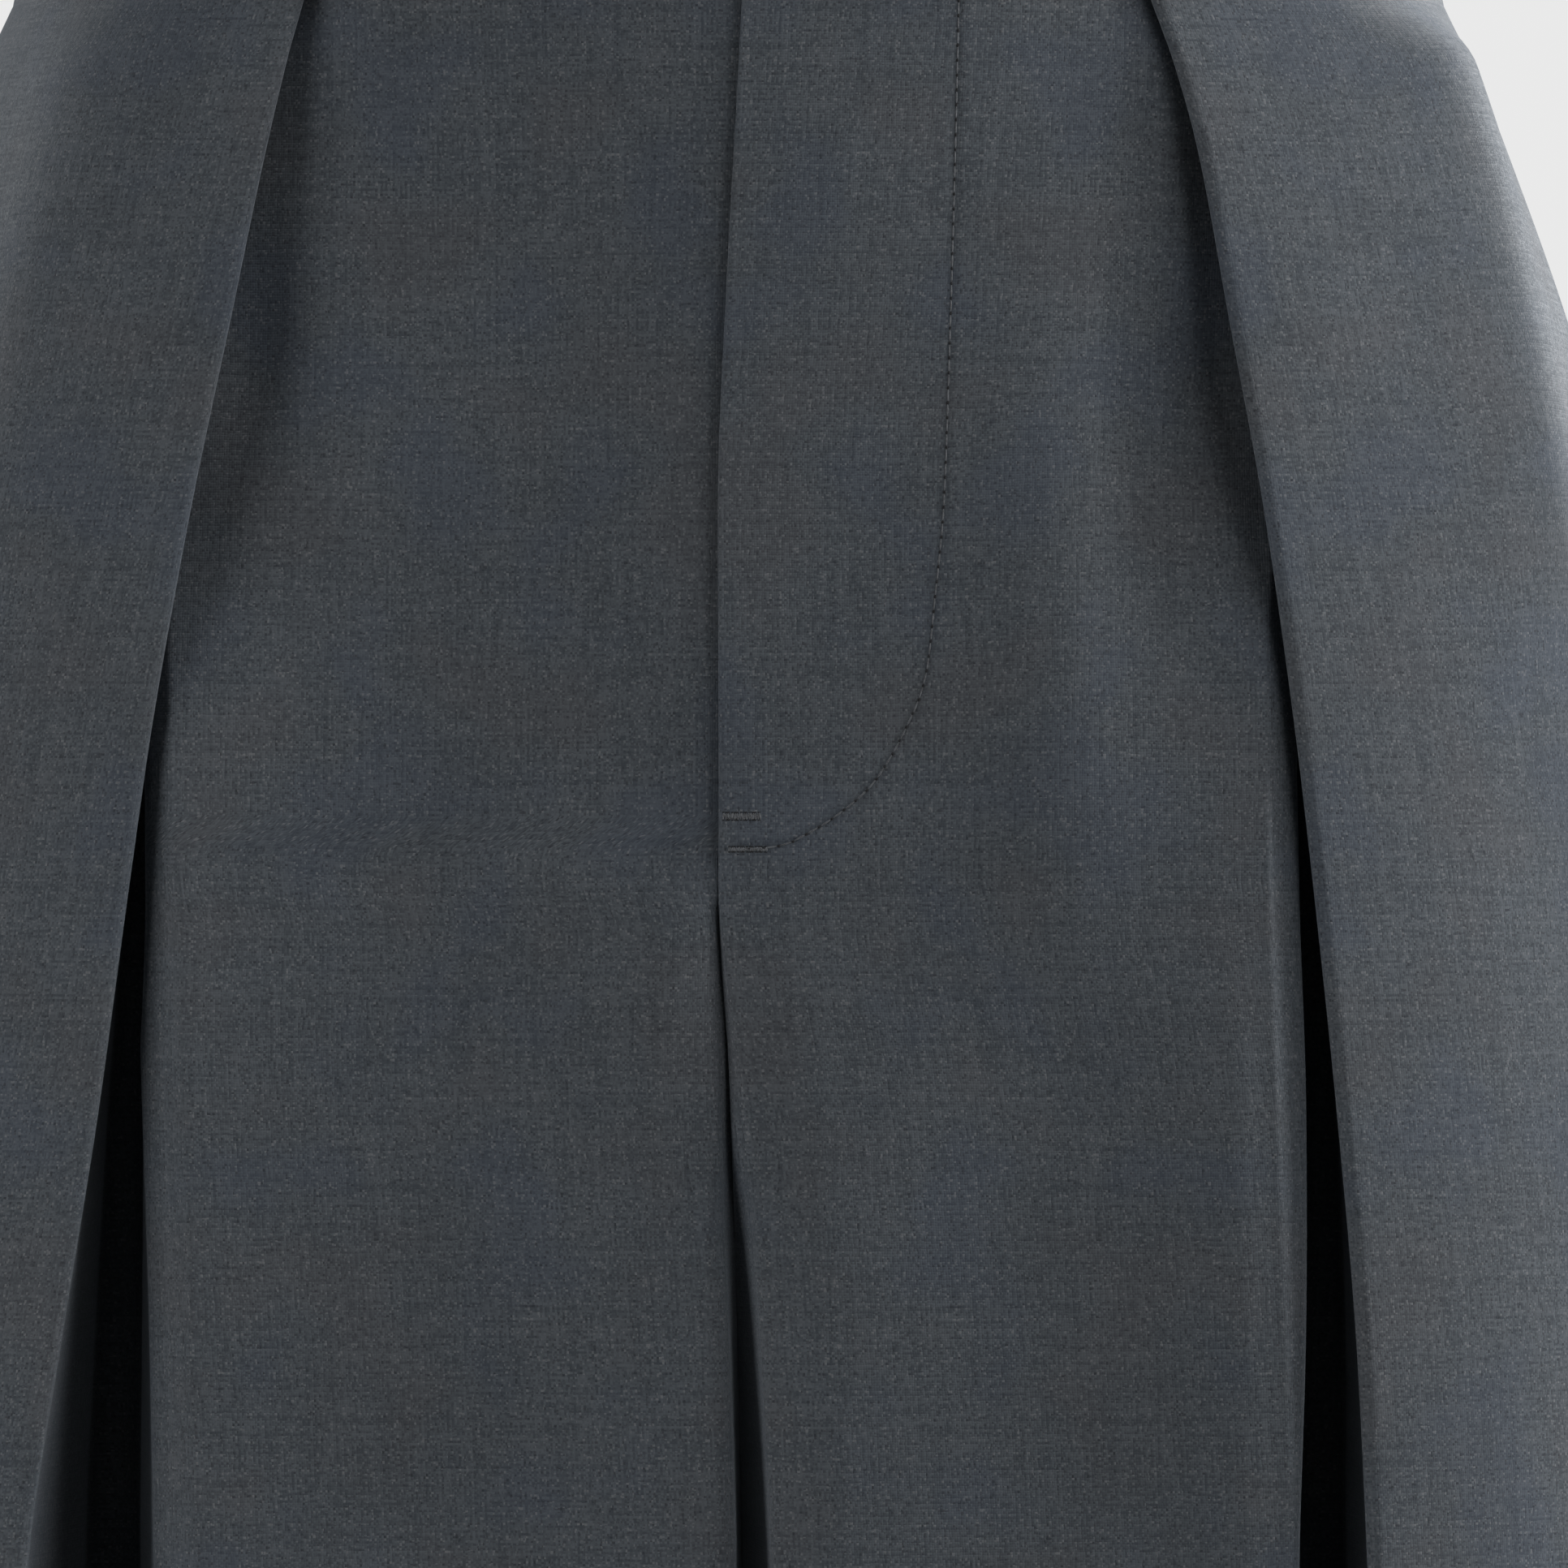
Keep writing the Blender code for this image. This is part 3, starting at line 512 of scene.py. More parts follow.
def gridNormals(points):
    down, across = np.gradient(points, axis=0), np.gradient(points, axis=1)
    normals = np.cross(down, across)
    return normals / np.maximum(np.linalg.norm(normals, axis=2, keepdims=True), 1e-9)


def addMesh(name, points, faces, finish, uvs=None, attributes=None):
    mesh = bpy.data.meshes.new(name)
    mesh.from_pydata([tuple(p) for p in (np.asarray(points) * mm).tolist()], [], faces)
    if uvs is not None:
        layer = mesh.uv_layers.new(name="cloth")
        loops = np.empty(len(mesh.loops), np.int32)
        mesh.loops.foreach_get("vertex_index", loops)
        layer.data.foreach_set("uv", (np.asarray(uvs)[loops] * mm).ravel())
    for label, values in (attributes or {}).items():
        mesh.attributes.new(label, "FLOAT", "POINT").data.foreach_set("value", np.asarray(values, np.float32))
    mesh.shade_smooth()
    mesh.materials.append(finish)
    piece = bpy.data.objects.new(name, mesh)
    bpy.context.scene.collection.objects.link(piece)
    return piece


def gridFaces(rows, across, flipped):
    faces = []
    for row in range(rows - 1):
        for column in range(across - 1):
            a = row * across + column
            corners = (a, a + across, a + across + 1, a + 1)
            faces.append(corners[::-1] if flipped else corners)
    return faces


def ride(piece, replaced=None):
    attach(piece, "root")
    if replaced:
        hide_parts(replaced)


def applyModifiers(piece):
    bpy.ops.object.select_all(action="DESELECT")
    piece.select_set(True)
    bpy.context.view_layer.objects.active = piece
    for modifier in list(piece.modifiers):
        bpy.ops.object.modifier_apply(modifier=modifier.name)


def giveWall(piece, thickness):
    wall = piece.modifiers.new("wall", "SOLIDIFY")
    wall.thickness = thickness * mm
    wall.offset = -1
    wall.use_even_offset = True
    wall.thickness_clamp = 1.5
    applyModifiers(piece)


# where the cloth is turned in: the angles round the turn, the rows that lie flat inside, and how far
# along the cloth all of these are
turning = {
    "round": 0.65, "seamAngles": (30, 60, 90, 120, 150, 180), "seamReaches": (2.5, 6.5, 11.0),
    "seamCloth": (0.3, 0.7, 1.0, 1.3, 1.7, 2.0, 4.5, 8.5, 13.0), "hemAngles": (35, 70, 110, 145, 180),
    "hemRises": (2, 10, 20, 30, 38), "hemCloth": (0.4, 0.8, 1.2, 1.6, 2.0, 4, 12, 22, 32, 40),
}


def seamTurn(points, facing, left, lastRun):
    # at the side seam the cloth goes round and lies back flat inside its own panel
    radius = turning["round"]
    onward = points[:, -1] - points[:, -2]
    onward /= np.linalg.norm(onward, axis=1, keepdims=True)
    columns = []
    for angle in np.radians(turning["seamAngles"]):
        round_ = onward * math.sin(angle) - facing[:, -1] * (1 - math.cos(angle))
        columns.append(points[:, -1] + radius * round_)
    for reach in turning["seamReaches"]:
        column = np.empty_like(columns[0])
        for row, use in enumerate(lastRun):
            lining = points[row, use] - 2 * radius * facing[row, use]
            column[row] = [np.interp(-reach, -left[row, use], lining[:, axis]) for axis in range(3)]
        columns.append(column)
    return np.stack(columns, axis=1)


def hemTurn(points, facing):
    # the cloth goes round the hem and up inside it
    radius = turning["round"]
    last, inward = points[-1], -facing.copy()
    inward[:, 2] = 0
    inward /= np.linalg.norm(inward, axis=1, keepdims=True)
    rows = []
    for angle in np.radians(turning["hemAngles"]):
        rows.append(last + inward * radius * (1 - math.cos(angle)) - [0, 0, radius * math.sin(angle)])
    for rise in turning["hemRises"]:
        rows.append(last + inward * 2 * radius + [0, 0, rise])
    return np.stack(rows)


# where the stitching of the fly runs on the left front: x at a drop, straight and then round
flyStitch = {
    "x": (40.6, 40.4, 39.9, 39.3, 38.6, 37.7, 36.2, 34.4, 30.5, 27.0, 24.5, 21.4, 17.8, 14.2, 11.0, 7.4, 0.6),
    "drop": (0.4, 7, 28, 49, 71, 94, 109.5, 124, 133.6, 139.7, 143, 145.7, 148.4, 150.5, 152.2, 153, 153.4),
    "pitch": 2.6, "length": 2.1, "thick": 0.3, "hole": (0.625, 0.5), "proud": 0.02, "sunk": 0.01,
}


def flyLine():
    # a smooth curve through the places of the stitching
    places = list(zip(flyStitch["x"], flyStitch["drop"]))
    smooth = []
    for i in range(len(places) - 1):
        before, after = places[max(i - 1, 0)], places[min(i + 2, len(places) - 1)]
        a, b = np.array(places[i]), np.array(places[i + 1])
        slopeA, slopeB = (b - np.array(before)) / 2, (np.array(after) - a) / 2
        for t in np.arange(0, 1, 0.1):
            smooth.append(a * (2 * t**3 - 3 * t**2 + 1) + b * (3 * t**2 - 2 * t**3)
                          + slopeA * (t**3 - 2 * t**2 + t) + slopeB * (t**3 - t**2))
    return np.array(smooth + [places[-1]])


def distanceToLine(x, drop, line):
    # signed by the side of the line on which a point lies
    points = np.stack([x.ravel(), drop.ravel()], axis=1)
    best = np.full(len(points), 1e9)
    sign = np.ones(len(points))
    for a, b in zip(line, line[1:]):
        step = b - a
        share = np.clip(((points - a) @ step) / (step @ step), 0, 1)
        off = points - (a + share[:, None] * step)
        distance = np.hypot(*off.T)
        nearer = distance < best - 1e-9
        best = np.where(nearer, distance, best)
        side = np.sign(step[0] * (points - a)[:, 1] - step[1] * (points - a)[:, 0])
        sign = np.where(nearer, side, sign)
    return (best * sign).reshape(x.shape)


frontKind = {"section": frontSection, "stops": frontStops, "forward": 1, "step": 1.7, "flat": (0.45, 1.09),
             "area": 0.44, "regions": {1: "inner", 4: "outer"}}
backKind = {"section": backSection, "stops": backStops, "forward": -1, "step": 4.5, "flat": (0.34, 1.09),
            "area": 0.31, "regions": {1: "seat", 2: "side"}}
panels = {"front_left": (1, frontKind), "front_right": (-1, frontKind),
          "back_left": (1, backKind), "back_right": (-1, backKind)}
# how the relief fades, the dip that the band's seam makes, the cloth from a pleat's inner crease to its
# outer edge, and how far from the fly its stitching is felt
clothForm = {"seamFade": 7.0, "lipFade": 3.8, "bandFade": 16.0, "bandDip": 0.35, "bandDipWide": 1.2,
             "foldGap": 95.0, "stitchDrop": 175, "stitchX": 60, "farOff": 50.0}
panelSkins = {}


def panelRelief(name, run, place, left, drop):
    # creases fade out at the folds, at the seams and at the band
    relief = np.zeros_like(place)
    for index, region in panels[name][1]["regions"].items():
        fade = clothForm["seamFade"] if index > 1 else clothForm["lipFade"]
        calm = smoothStep(0, fade, place) * smoothStep(0, clothForm["seamFade"], left)
        relief += np.where(run == index, creaseRelief(creases[name][region], place, drop) * calm, 0)
    dip = clothForm["bandDip"] * np.exp(-((drop / clothForm["bandDipWide"]) ** 2))
    return relief * smoothStep(0, clothForm["bandFade"], drop) - dip


def acrossCloth(kind, run, place, left):
    # the weave's own coordinates: across from each pressed fold, so that its threads run with it
    def widthOf(index):
        return np.where(run == index, place + left, 0).max(axis=1, keepdims=True)

    inner = widthOf(1)
    across = np.where(run == 0, -left, place) + np.where(run == 2, inner, 0)
    if kind is backKind:
        return across
    share = place / np.maximum(place + left, 1e-6)
    tuckIn, gap = widthOf(2), clothForm["foldGap"]
    across = np.where(run == 3, inner + tuckIn + (gap - tuckIn + inner.max() - inner) * share, across)
    return across + np.where(run == 4, inner.max() + gap, 0)


def stitchDistance(run, x, drop, shape):
    # how far each point is from the fly's stitching, for the cloth that it draws in
    far = clothForm["farOff"]
    near = (run <= 1) & (drop < clothForm["stitchDrop"]) & (x < clothForm["stitchX"])
    found = np.full(shape, far)
    distance = np.clip(distanceToLine(x, drop, flyLine()), -far, far)
    found[:x.shape[0], :x.shape[1]] = np.where(near, distance, far)
    return found.ravel()


def buildPanel(name, finish):
    side, kind = panels[name]
    drops = clothDrops(kind["step"])
    x, y, place, left, run = np.moveaxis(panelGrid(side, kind["section"], kind["stops"], drops), 2, 0)
    drop = np.repeat(drops[:, None], x.shape[1], axis=1)
    points = np.stack([side * x, kind["forward"] * y, panelTop - drop], axis=2)
    flipped = side != kind["forward"]
    outwards = -1 if flipped else 1
    relief = panelRelief(name, run, place, left, drop)
    points = points + outwards * gridNormals(points) * relief[:, :, None]
    facing = outwards * gridNormals(points)
    panelSkins[name] = SimpleNamespace(points=points, run=run, drops=drops)

    # the allowance at the side seam, then the turned hem
    allowance = seamTurn(points, facing, left, run == run.max())
    points = np.concatenate([points, allowance], axis=1)
    hemFacing = np.concatenate([facing[-1], np.repeat(facing[-1, -1:], allowance.shape[1], axis=0)])
    turned = hemTurn(points, hemFacing)
    points = np.concatenate([points, turned])
    across = acrossCloth(kind, run, place, left)
    across = np.concatenate([across, across[:, -1:] + np.array(turning["seamCloth"])], axis=1)
    across = np.concatenate([across, np.repeat(across[-1:], len(turned), axis=0)])
    along = np.concatenate([drops, cut["hemDrop"] + np.array(turning["hemCloth"])])
    uvs = np.stack([across, np.repeat(along[:, None], across.shape[1], axis=1)], axis=2).reshape(-1, 2)
    rows, columns = points.shape[:2]
    attributes = {}
    if name == "front_left":
        attributes["flyOff"] = stitchDistance(run, x, drop, (rows, columns))
    piece = addMesh(name + "_cloth", points.reshape(-1, 3), gridFaces(rows, columns, flipped), finish,
                    uvs, attributes)
    giveWall(piece, clothMesh["wall"])
    ride(piece, name)
    print(name, len(piece.data.polygons), "faces")


# node helpers: a value goes into a socket, and a socket is linked to it
def setSockets(tree, made, values):
    for name, value in values.items():
        if isinstance(value, bpy.types.NodeSocket):
            tree.links.new(value, made.inputs[name])
        else:
            made.inputs[name].default_value = value
    return made


def addNode(tree, kind, inputs=None, **settings):
    made = tree.nodes.new("ShaderNode" + kind)
    for name, value in settings.items():
        setattr(made, name, value)
    return setSockets(tree, made, inputs or {})


def calculate(tree, operation, *values):
    return addNode(tree, "Math", dict(enumerate(values)), operation=operation).outputs[0]


def mapRange(tree, value, low, high, lowTo, highTo, smooth=True):
    return addNode(tree, "MapRange",
                   {"Value": value, "From Min": low, "From Max": high, "To Min": lowTo, "To Max": highTo},
                   interpolation_type="SMOOTHSTEP" if smooth else "LINEAR").outputs["Result"]


def mixColour(tree, factor, first, second, blend="MIX"):
    made = addNode(tree, "Mix", {0: factor, 6: first, 7: second}, data_type="RGBA", blend_type=blend)
    return made.outputs[2]


def greyColour(tree, value):
    return addNode(tree, "CombineColor", {0: value, 1: value, 2: value}).outputs[0]


def noise(tree, place, scale, detail, flat=False, **more):
    return addNode(tree, "TexNoise", {"Vector": place, "Scale": scale, "Detail": detail, **more},
                   noise_dimensions="2D" if flat else "3D").outputs["Fac"]


def objectPlace(tree):
    return addNode(tree, "TexCoord").outputs["Object"]


def startMaterial(name, sockets):
    material = bpy.data.materials.new(name)
    material.use_nodes = True
    tree = material.node_tree
    return material, tree, setSockets(tree, tree.nodes["Principled BSDF"], sockets)


def addBump(tree, shader, height, strength, distance):
    bump = addNode(tree, "Bump", {"Height": height, "Strength": strength, "Distance": distance})
    tree.links.new(bump.outputs[0], shader.inputs["Normal"])


def newGroup(name, inputs, outputs):
    group = bpy.data.node_groups.new(name, "ShaderNodeTree")
    for label, value in inputs.items():
        kind = "NodeSocketVector" if value is None else "NodeSocketFloat"
        socket = group.interface.new_socket(name=label, in_out="INPUT", socket_type=kind)
        if value is not None:
            socket.default_value = value
    for label in outputs:
        group.interface.new_socket(name=label, in_out="OUTPUT", socket_type="NodeSocketFloat")
    return group, group.nodes.new("NodeGroupInput").outputs, group.nodes.new("NodeGroupOutput").inputs


# the weave: pitches in millimetres, how far a thread wanders, and how unlike its shades are
weave = {"Cloth": None, "Warp Pitch": 0.435, "Weft Pitch": 0.445, "Wander": 0.22, "Uneven": 0.16,
         "Streaks": 0.7}
weaveDraw = {"wanderScale": 420.0, "warpShift": 4.0, "weftShift": -3.2, "over": 0.55, "threadOften": 0.2,
             "slubOften": 0.018, "apart": 7.31}


def buildPlainWeave():
    # threads that pass over and under each other, each with its own shade along its length
    group, given, made = newGroup("plainWeave", weave, ("Height", "Shade", "Light Fleck", "Dark Fleck"))
    split = addNode(group, "SeparateXYZ", {0: given["Cloth"]})
    wander = noise(group, given["Cloth"], weaveDraw["wanderScale"], 1.0, flat=True)
    drift = calculate(group, "MULTIPLY", calculate(group, "SUBTRACT", wander, 0.5), given["Wander"])
    places, cells, signs = [], [], []
    for axis, pitch, share in (("X", "Warp Pitch", "warpShift"), ("Y", "Weft Pitch", "weftShift")):
        perMetre = calculate(group, "DIVIDE", 1000.0, given[pitch])
        shift = calculate(group, "MULTIPLY", drift, weaveDraw[share])
        places.append(calculate(group, "MULTIPLY_ADD", split.outputs[axis], perMetre, shift))
        cells.append(calculate(group, "FLOOR", places[-1]))
        odd = calculate(group, "FLOORED_MODULO", cells[-1], 2.0)
        signs.append(calculate(group, "MULTIPLY_ADD", odd, -2.0, 1.0))
    waves = [calculate(group, "SINE", calculate(group, "MULTIPLY", place, math.pi)) for place in places]
    warpRound, weftRound = [calculate(group, "ABSOLUTE", wave) for wave in waves]
    warpRise = calculate(group, "MULTIPLY", waves[1], signs[0])
    weftRise = calculate(group, "MULTIPLY", calculate(group, "MULTIPLY", waves[0], signs[1]), -1.0)
    warp = calculate(group, "MULTIPLY_ADD", warpRise, weaveDraw["over"], warpRound)
    weft = calculate(group, "MULTIPLY_ADD", weftRise, weaveDraw["over"], weftRound)
    over = calculate(group, "GREATER_THAN", warp, weft)
    group.links.new(calculate(group, "MAXIMUM", warp, weft), made["Height"])

    # one row of shades for each thread, and a slower one for the slubs that last for centimetres
    thread, slub = [], []
    for along, cell, shift in ((places[0], cells[1], 500.0), (places[1], cells[0], 0.0)):
        for rows, often in ((thread, "threadOften"), (slub, "slubOften")):
            rows.append(addNode(group, "CombineXYZ",
                                {"X": calculate(group, "MULTIPLY_ADD", cell, weaveDraw["apart"], shift),
                                 "Y": calculate(group, "MULTIPLY", along, weaveDraw[often])}).outputs[0])
    thread, slub = [addNode(group, "Mix", {0: over, 4: rows[0], 5: rows[1]}, data_type="VECTOR").outputs[1]
                    for rows in (thread, slub)]
    lasting = noise(group, slub, 1.0, 1.0, flat=True)
    tone = noise(group, thread, 1.0, 2.0, flat=True, Roughness=0.7)
    crossing = addNode(group, "CombineXYZ", {"X": cells[0], "Y": cells[1]}).outputs[0]
    single = addNode(group, "TexWhiteNoise", {"Vector": crossing}, noise_dimensions="2D").outputs["Value"]
    uneven = calculate(group, "MULTIPLY", calculate(group, "SUBTRACT", single, 0.5), given["Uneven"])
    streak = calculate(group, "MULTIPLY", calculate(group, "SUBTRACT", lasting, 0.5), given["Streaks"])
    group.links.new(calculate(group, "ADD", calculate(group, "ADD", tone, uneven), streak), made["Shade"])
    fleck = noise(group, thread, 2.3, 0.0, flat=True)
    group.links.new(mapRange(group, fleck, 0.70, 0.82, 0.0, 1.0), made["Light Fleck"])
    group.links.new(mapRange(group, fleck, 0.30, 0.18, 0.0, 1.0), made["Dark Fleck"])
    return group


def buildDyeCloud():
    # soft uneven patches of the dye, cool and warm
    group, given, made = newGroup("dyeCloud", {"Cloth": None, "Size": 38.0}, ("Tone", "Warmth"))
    scale = calculate(group, "DIVIDE", 1000.0, given["Size"])
    group.links.new(noise(group, given["Cloth"], scale, 3.0, flat=True, Roughness=0.6), made["Tone"])
    aside = addNode(group, "VectorMath", {0: given["Cloth"], 1: (3.7, 1.9, 0)}).outputs[0]
    closer = calculate(group, "MULTIPLY", scale, 1.4)
    group.links.new(noise(group, aside, closer, 2.0, flat=True), made["Warmth"])
    return group


wool = {
    "base": (0.050, 0.0585, 0.0675, 1), "evened": 0.45,
    "lightThread": (0.082, 0.091, 0.101, 1), "darkThread": (0.027, 0.033, 0.040, 1),
    "warm": (0.062, 0.058, 0.060, 1), "cool": (0.042, 0.054, 0.078, 1),
    "lightFleck": (0.17, 0.175, 0.18, 1), "darkFleck": (0.012, 0.013, 0.016, 1),
    "shadeRange": (0.32, 0.68), "warmRange": (0.5, 0.72, 0.0, 0.22), "coolRange": (0.5, 0.30, 0.0, 0.3),
    "lightFlecks": 0.4, "darkFlecks": 0.55, "toneRange": (0.3, 0.7, 0.94, 1.06),
    "roughRange": (0.3, 0.7, 0.84, 0.70), "threadHigh": 0.035, "bump": 0.85,
    "shader": {"Specular IOR Level": 0.22, "Sheen Weight": 0.28, "Sheen Roughness": 0.42,
               "Sheen Tint": (0.72, 0.80, 0.90, 1)},
}
# the stitching draws the cloth in, with the turning a faint ridge beside it, and the groove is painted darker
# as shade
woolStitch = {"pucker": 0.2, "puckerWide": 0.8, "ridge": 0.06, "ridgeRange": (-2.6, -1.2), "shade": 0.62,
              "grooveShadeShare": 0.35}


def drawIn(tree, height, colour):
    off = addNode(tree, "Attribute", attribute_name="flyOff").outputs["Fac"]
    near = calculate(tree, "DIVIDE", off, woolStitch["puckerWide"])
    near = calculate(tree, "MULTIPLY", calculate(tree, "MULTIPLY", near, near), -1.0)
    groove = calculate(tree, "EXPONENT", near)
    edge = mapRange(tree, off, *woolStitch["ridgeRange"], 1.0, 0.0)
    height = calculate(tree, "MULTIPLY_ADD", groove, -woolStitch["pucker"] * mm, height)
    height = calculate(tree, "MULTIPLY_ADD", edge, woolStitch["ridge"] * mm, height)
    # painted shade: the wool is made darker in the groove that the stitching draws in
    grooveShade = mixColour(tree, 1.0, colour, greyColour(tree, woolStitch["shade"]), blend="MULTIPLY")
    share = calculate(tree, "MULTIPLY", groove, woolStitch["grooveShadeShare"])
    return height, mixColour(tree, share, colour, grooveShade)


def buildWool(name, stitched=False):
    material, tree, shader = startMaterial(name, wool["shader"])
    cloth = addNode(tree, "UVMap", uv_map="cloth").outputs[0]
    threads = addNode(tree, "Group", {"Cloth": cloth}, node_tree=weaveGroup).outputs
    dye = addNode(tree, "Group", {"Cloth": cloth}, node_tree=cloudGroup).outputs
    shade = mapRange(tree, threads["Shade"], *wool["shadeRange"], 0.0, 1.0, smooth=False)
    colour = mixColour(tree, shade, wool["darkThread"], wool["lightThread"])
    colour = mixColour(tree, wool["evened"], colour, wool["base"])
    for tint, amount in (
        ("warm", mapRange(tree, dye["Warmth"], *wool["warmRange"])),
        ("cool", mapRange(tree, dye["Warmth"], *wool["coolRange"])),
        ("lightFleck", calculate(tree, "MULTIPLY", threads["Light Fleck"], wool["lightFlecks"])),
        ("darkFleck", calculate(tree, "MULTIPLY", threads["Dark Fleck"], wool["darkFlecks"])),
    ):
        colour = mixColour(tree, amount, colour, wool[tint])
    tone = greyColour(tree, mapRange(tree, dye["Tone"], *wool["toneRange"], smooth=False))
    colour = mixColour(tree, 1.0, colour, tone, blend="MULTIPLY")
    height = calculate(tree, "MULTIPLY", threads["Height"], wool["threadHigh"] * mm)
    if stitched:
        height, colour = drawIn(tree, height, colour)
    rough = mapRange(tree, threads["Shade"], *wool["roughRange"])
    setSockets(tree, shader, {"Base Color": colour, "Roughness": rough})
    addBump(tree, shader, height, wool["bump"], 1.0)
    return material


def threadLook(*colour):
    # plies twisted together, seen as light and dark
    return {"dark": [0.55 * value for value in colour], "light": [1.25 * value for value in colour],
            "grain": (2600.0, 2.0), "range": (0.35, 0.65), "bump": (0.5, 0.05 * mm),
            "shader": {"Roughness": 0.55, "Sheen Weight": 0.2}}


# the needle holes are painted dark as the shade inside each hole, with a few fibres across, and the horn is
# streaked along one way
grained = {
    "flyThread": threadLook(0.062, 0.068, 0.076),
    "tackThread": threadLook(0.082, 0.088, 0.096),
    "needleHoleShade": {"dark": (0.003, 0.003, 0.004), "light": (0.020, 0.022, 0.026), "grain": (5200.0, 2.0),
                   "range": (0.45, 0.75), "shader": {"Roughness": 0.95}},
    "darkHorn": {"dark": (0.012, 0.013, 0.015), "light": (0.075, 0.072, 0.070), "grain": (420.0, 4.0),
                 "swirl": {"Distortion": 1.2}, "range": (0.42, 0.66), "gloss": (0.3, 0.7, 0.25, 0.40),
                 "stretch": {"Rotation": (0, 0.5, 0), "Scale": (1, 1, 0.25)},
                 "shader": {"Coat Weight": 0.25, "Coat Roughness": 0.2}},
}


def buildGrained(name):
    look = grained[name]
    material, tree, shader = startMaterial(name, look["shader"])
    place = objectPlace(tree)
    if "stretch" in look:
        place = addNode(tree, "Mapping", {"Vector": place, **look["stretch"]}).outputs[0]
    grain = noise(tree, place, *look["grain"], **look.get("swirl", {}))
    shade = mapRange(tree, grain, *look["range"], 0.0, 1.0)
    setSockets(tree, shader, {"Base Color": mixColour(tree, shade, (*look["dark"], 1), (*look["light"], 1))})
    if "gloss" in look:
        setSockets(tree, shader, {"Roughness": mapRange(tree, grain, *look["gloss"])})
    if "bump" in look:
        addBump(tree, shader, grain, *look["bump"])
    return material


tape = {"wide": 2.2, "long": 0.8, "slant": 2.4, "dark": (0.020, 0.022, 0.026, 1),
        "light": (0.042, 0.046, 0.052, 1), "bump": (0.5, 0.1 * mm),
        "shader": {"Roughness": 0.8, "Sheen Weight": 0.15}}


def buildTape():
    # woven tape: fine herringbone ribs along it, painted lighter on their tops and darker in the grooves
    # between them as shade
    material, tree, shader = startMaterial("zipTape", tape["shader"])
    place = addNode(tree, "SeparateXYZ", {0: objectPlace(tree)}).outputs
    across = calculate(tree, "MULTIPLY", place["X"], 1 / (tape["wide"] * mm))
    slant = calculate(tree, "MULTIPLY", calculate(tree, "PINGPONG", across, 0.5), tape["slant"])
    slant = calculate(tree, "MULTIPLY_ADD", place["Z"], 1 / (tape["long"] * mm), slant)
    rib = calculate(tree, "ABSOLUTE", calculate(tree, "SINE", calculate(tree, "MULTIPLY", slant, math.pi)))
    setSockets(tree, shader, {"Base Color": mixColour(tree, rib, tape["dark"], tape["light"])})
    addBump(tree, shader, rib, *tape["bump"])
    return material


metal = {"worn": (480.0, 2.0), "wornRange": (0.42, 0.6), "dark": (0.22, 0.22, 0.23, 1),
         "light": (0.36, 0.36, 0.365, 1), "stretch": (1, 1, 0.12), "brush": (5200.0, 3.0),
         "gloss": (0.3, 0.7, 0.30, 0.48), "bump": (0.25, 0.02 * mm), "shader": {"Metallic": 1.0}}


def buildMetal():
    # dull plated metal with fine brushing and worn spots
    material, tree, shader = startMaterial("zipMetal", metal["shader"])
    place = objectPlace(tree)
    stretched = addNode(tree, "Mapping", {"Vector": place, "Scale": metal["stretch"]}).outputs[0]
    brush = noise(tree, stretched, *metal["brush"])
    worn = mapRange(tree, noise(tree, place, *metal["worn"]), *metal["wornRange"], 0.0, 1.0)
    setSockets(tree, shader, {"Base Color": mixColour(tree, worn, metal["dark"], metal["light"]),
                              "Roughness": mapRange(tree, brush, *metal["gloss"])})
    addBump(tree, shader, brush, *metal["bump"])
    return material


weaveGroup, cloudGroup = buildPlainWeave(), buildDyeCloud()
woolCloth, woolFly = buildWool("charcoalWool"), buildWool("charcoalWoolStitched", stitched=True)
flyThread, tackThread, holeShadow, horn = [buildGrained(name) for name in grained]
zipTape, zipMetal = buildTape(), buildMetal()
for nodeName, finish in (("zip_tape_left", zipTape), ("zip_tape_right", zipTape), ("zip_slider", zipMetal)):
    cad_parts[nodeName].material_slots[0].material = finish
print("materials ready")

for panelName in panels:
    buildPanel(panelName, woolFly if panelName == "front_left" else woolCloth)


def onSkin(name, x, drop, index=1):
    # the point of a panel's surface at an x and a drop, and the way that it faces
    skin, apart = panelSkins[name], 0.8

    def at(x, drop):
        row = int(np.clip(np.searchsorted(skin.drops, drop) - 1, 0, len(skin.drops) - 2))
        share = (drop - skin.drops[row]) / (skin.drops[row + 1] - skin.drops[row])
        found = []
        for r in (row, row + 1):
            chosen = skin.points[r][skin.run[r] == index]
            order = np.argsort(chosen[:, 0])
            found.append(np.interp(x, chosen[order, 0], chosen[order, 1]))
        return Vector((x, found[0] + (found[1] - found[0]) * share, panelTop - drop))

    across, up = at(x + apart, drop) - at(x - apart, drop), at(x, drop - apart) - at(x, drop + apart)
    return at(x, drop), across.cross(up).normalized()


def takeShape(model):
    # the points and faces of a finished model, which then goes
    points = np.array([vertex.co[:] for vertex in model.data.vertices])
    faces = [tuple(polygon.vertices) for polygon in model.data.polygons]
    bpy.data.objects.remove(model, do_unlink=True)
    return points, faces


def threadShape(length, thick):
    # one stitch: a slim rounded piece whose ends dive into the cloth
    bpy.ops.mesh.primitive_uv_sphere_add(segments=8, ring_count=6, radius=0.5)
    model = bpy.context.object
    model.rotation_euler = (0, math.pi / 2, 0)
    bpy.ops.object.transform_apply(location=False, rotation=True, scale=False)
    points, faces = takeShape(model)
    return points * (length, thick, thick), faces


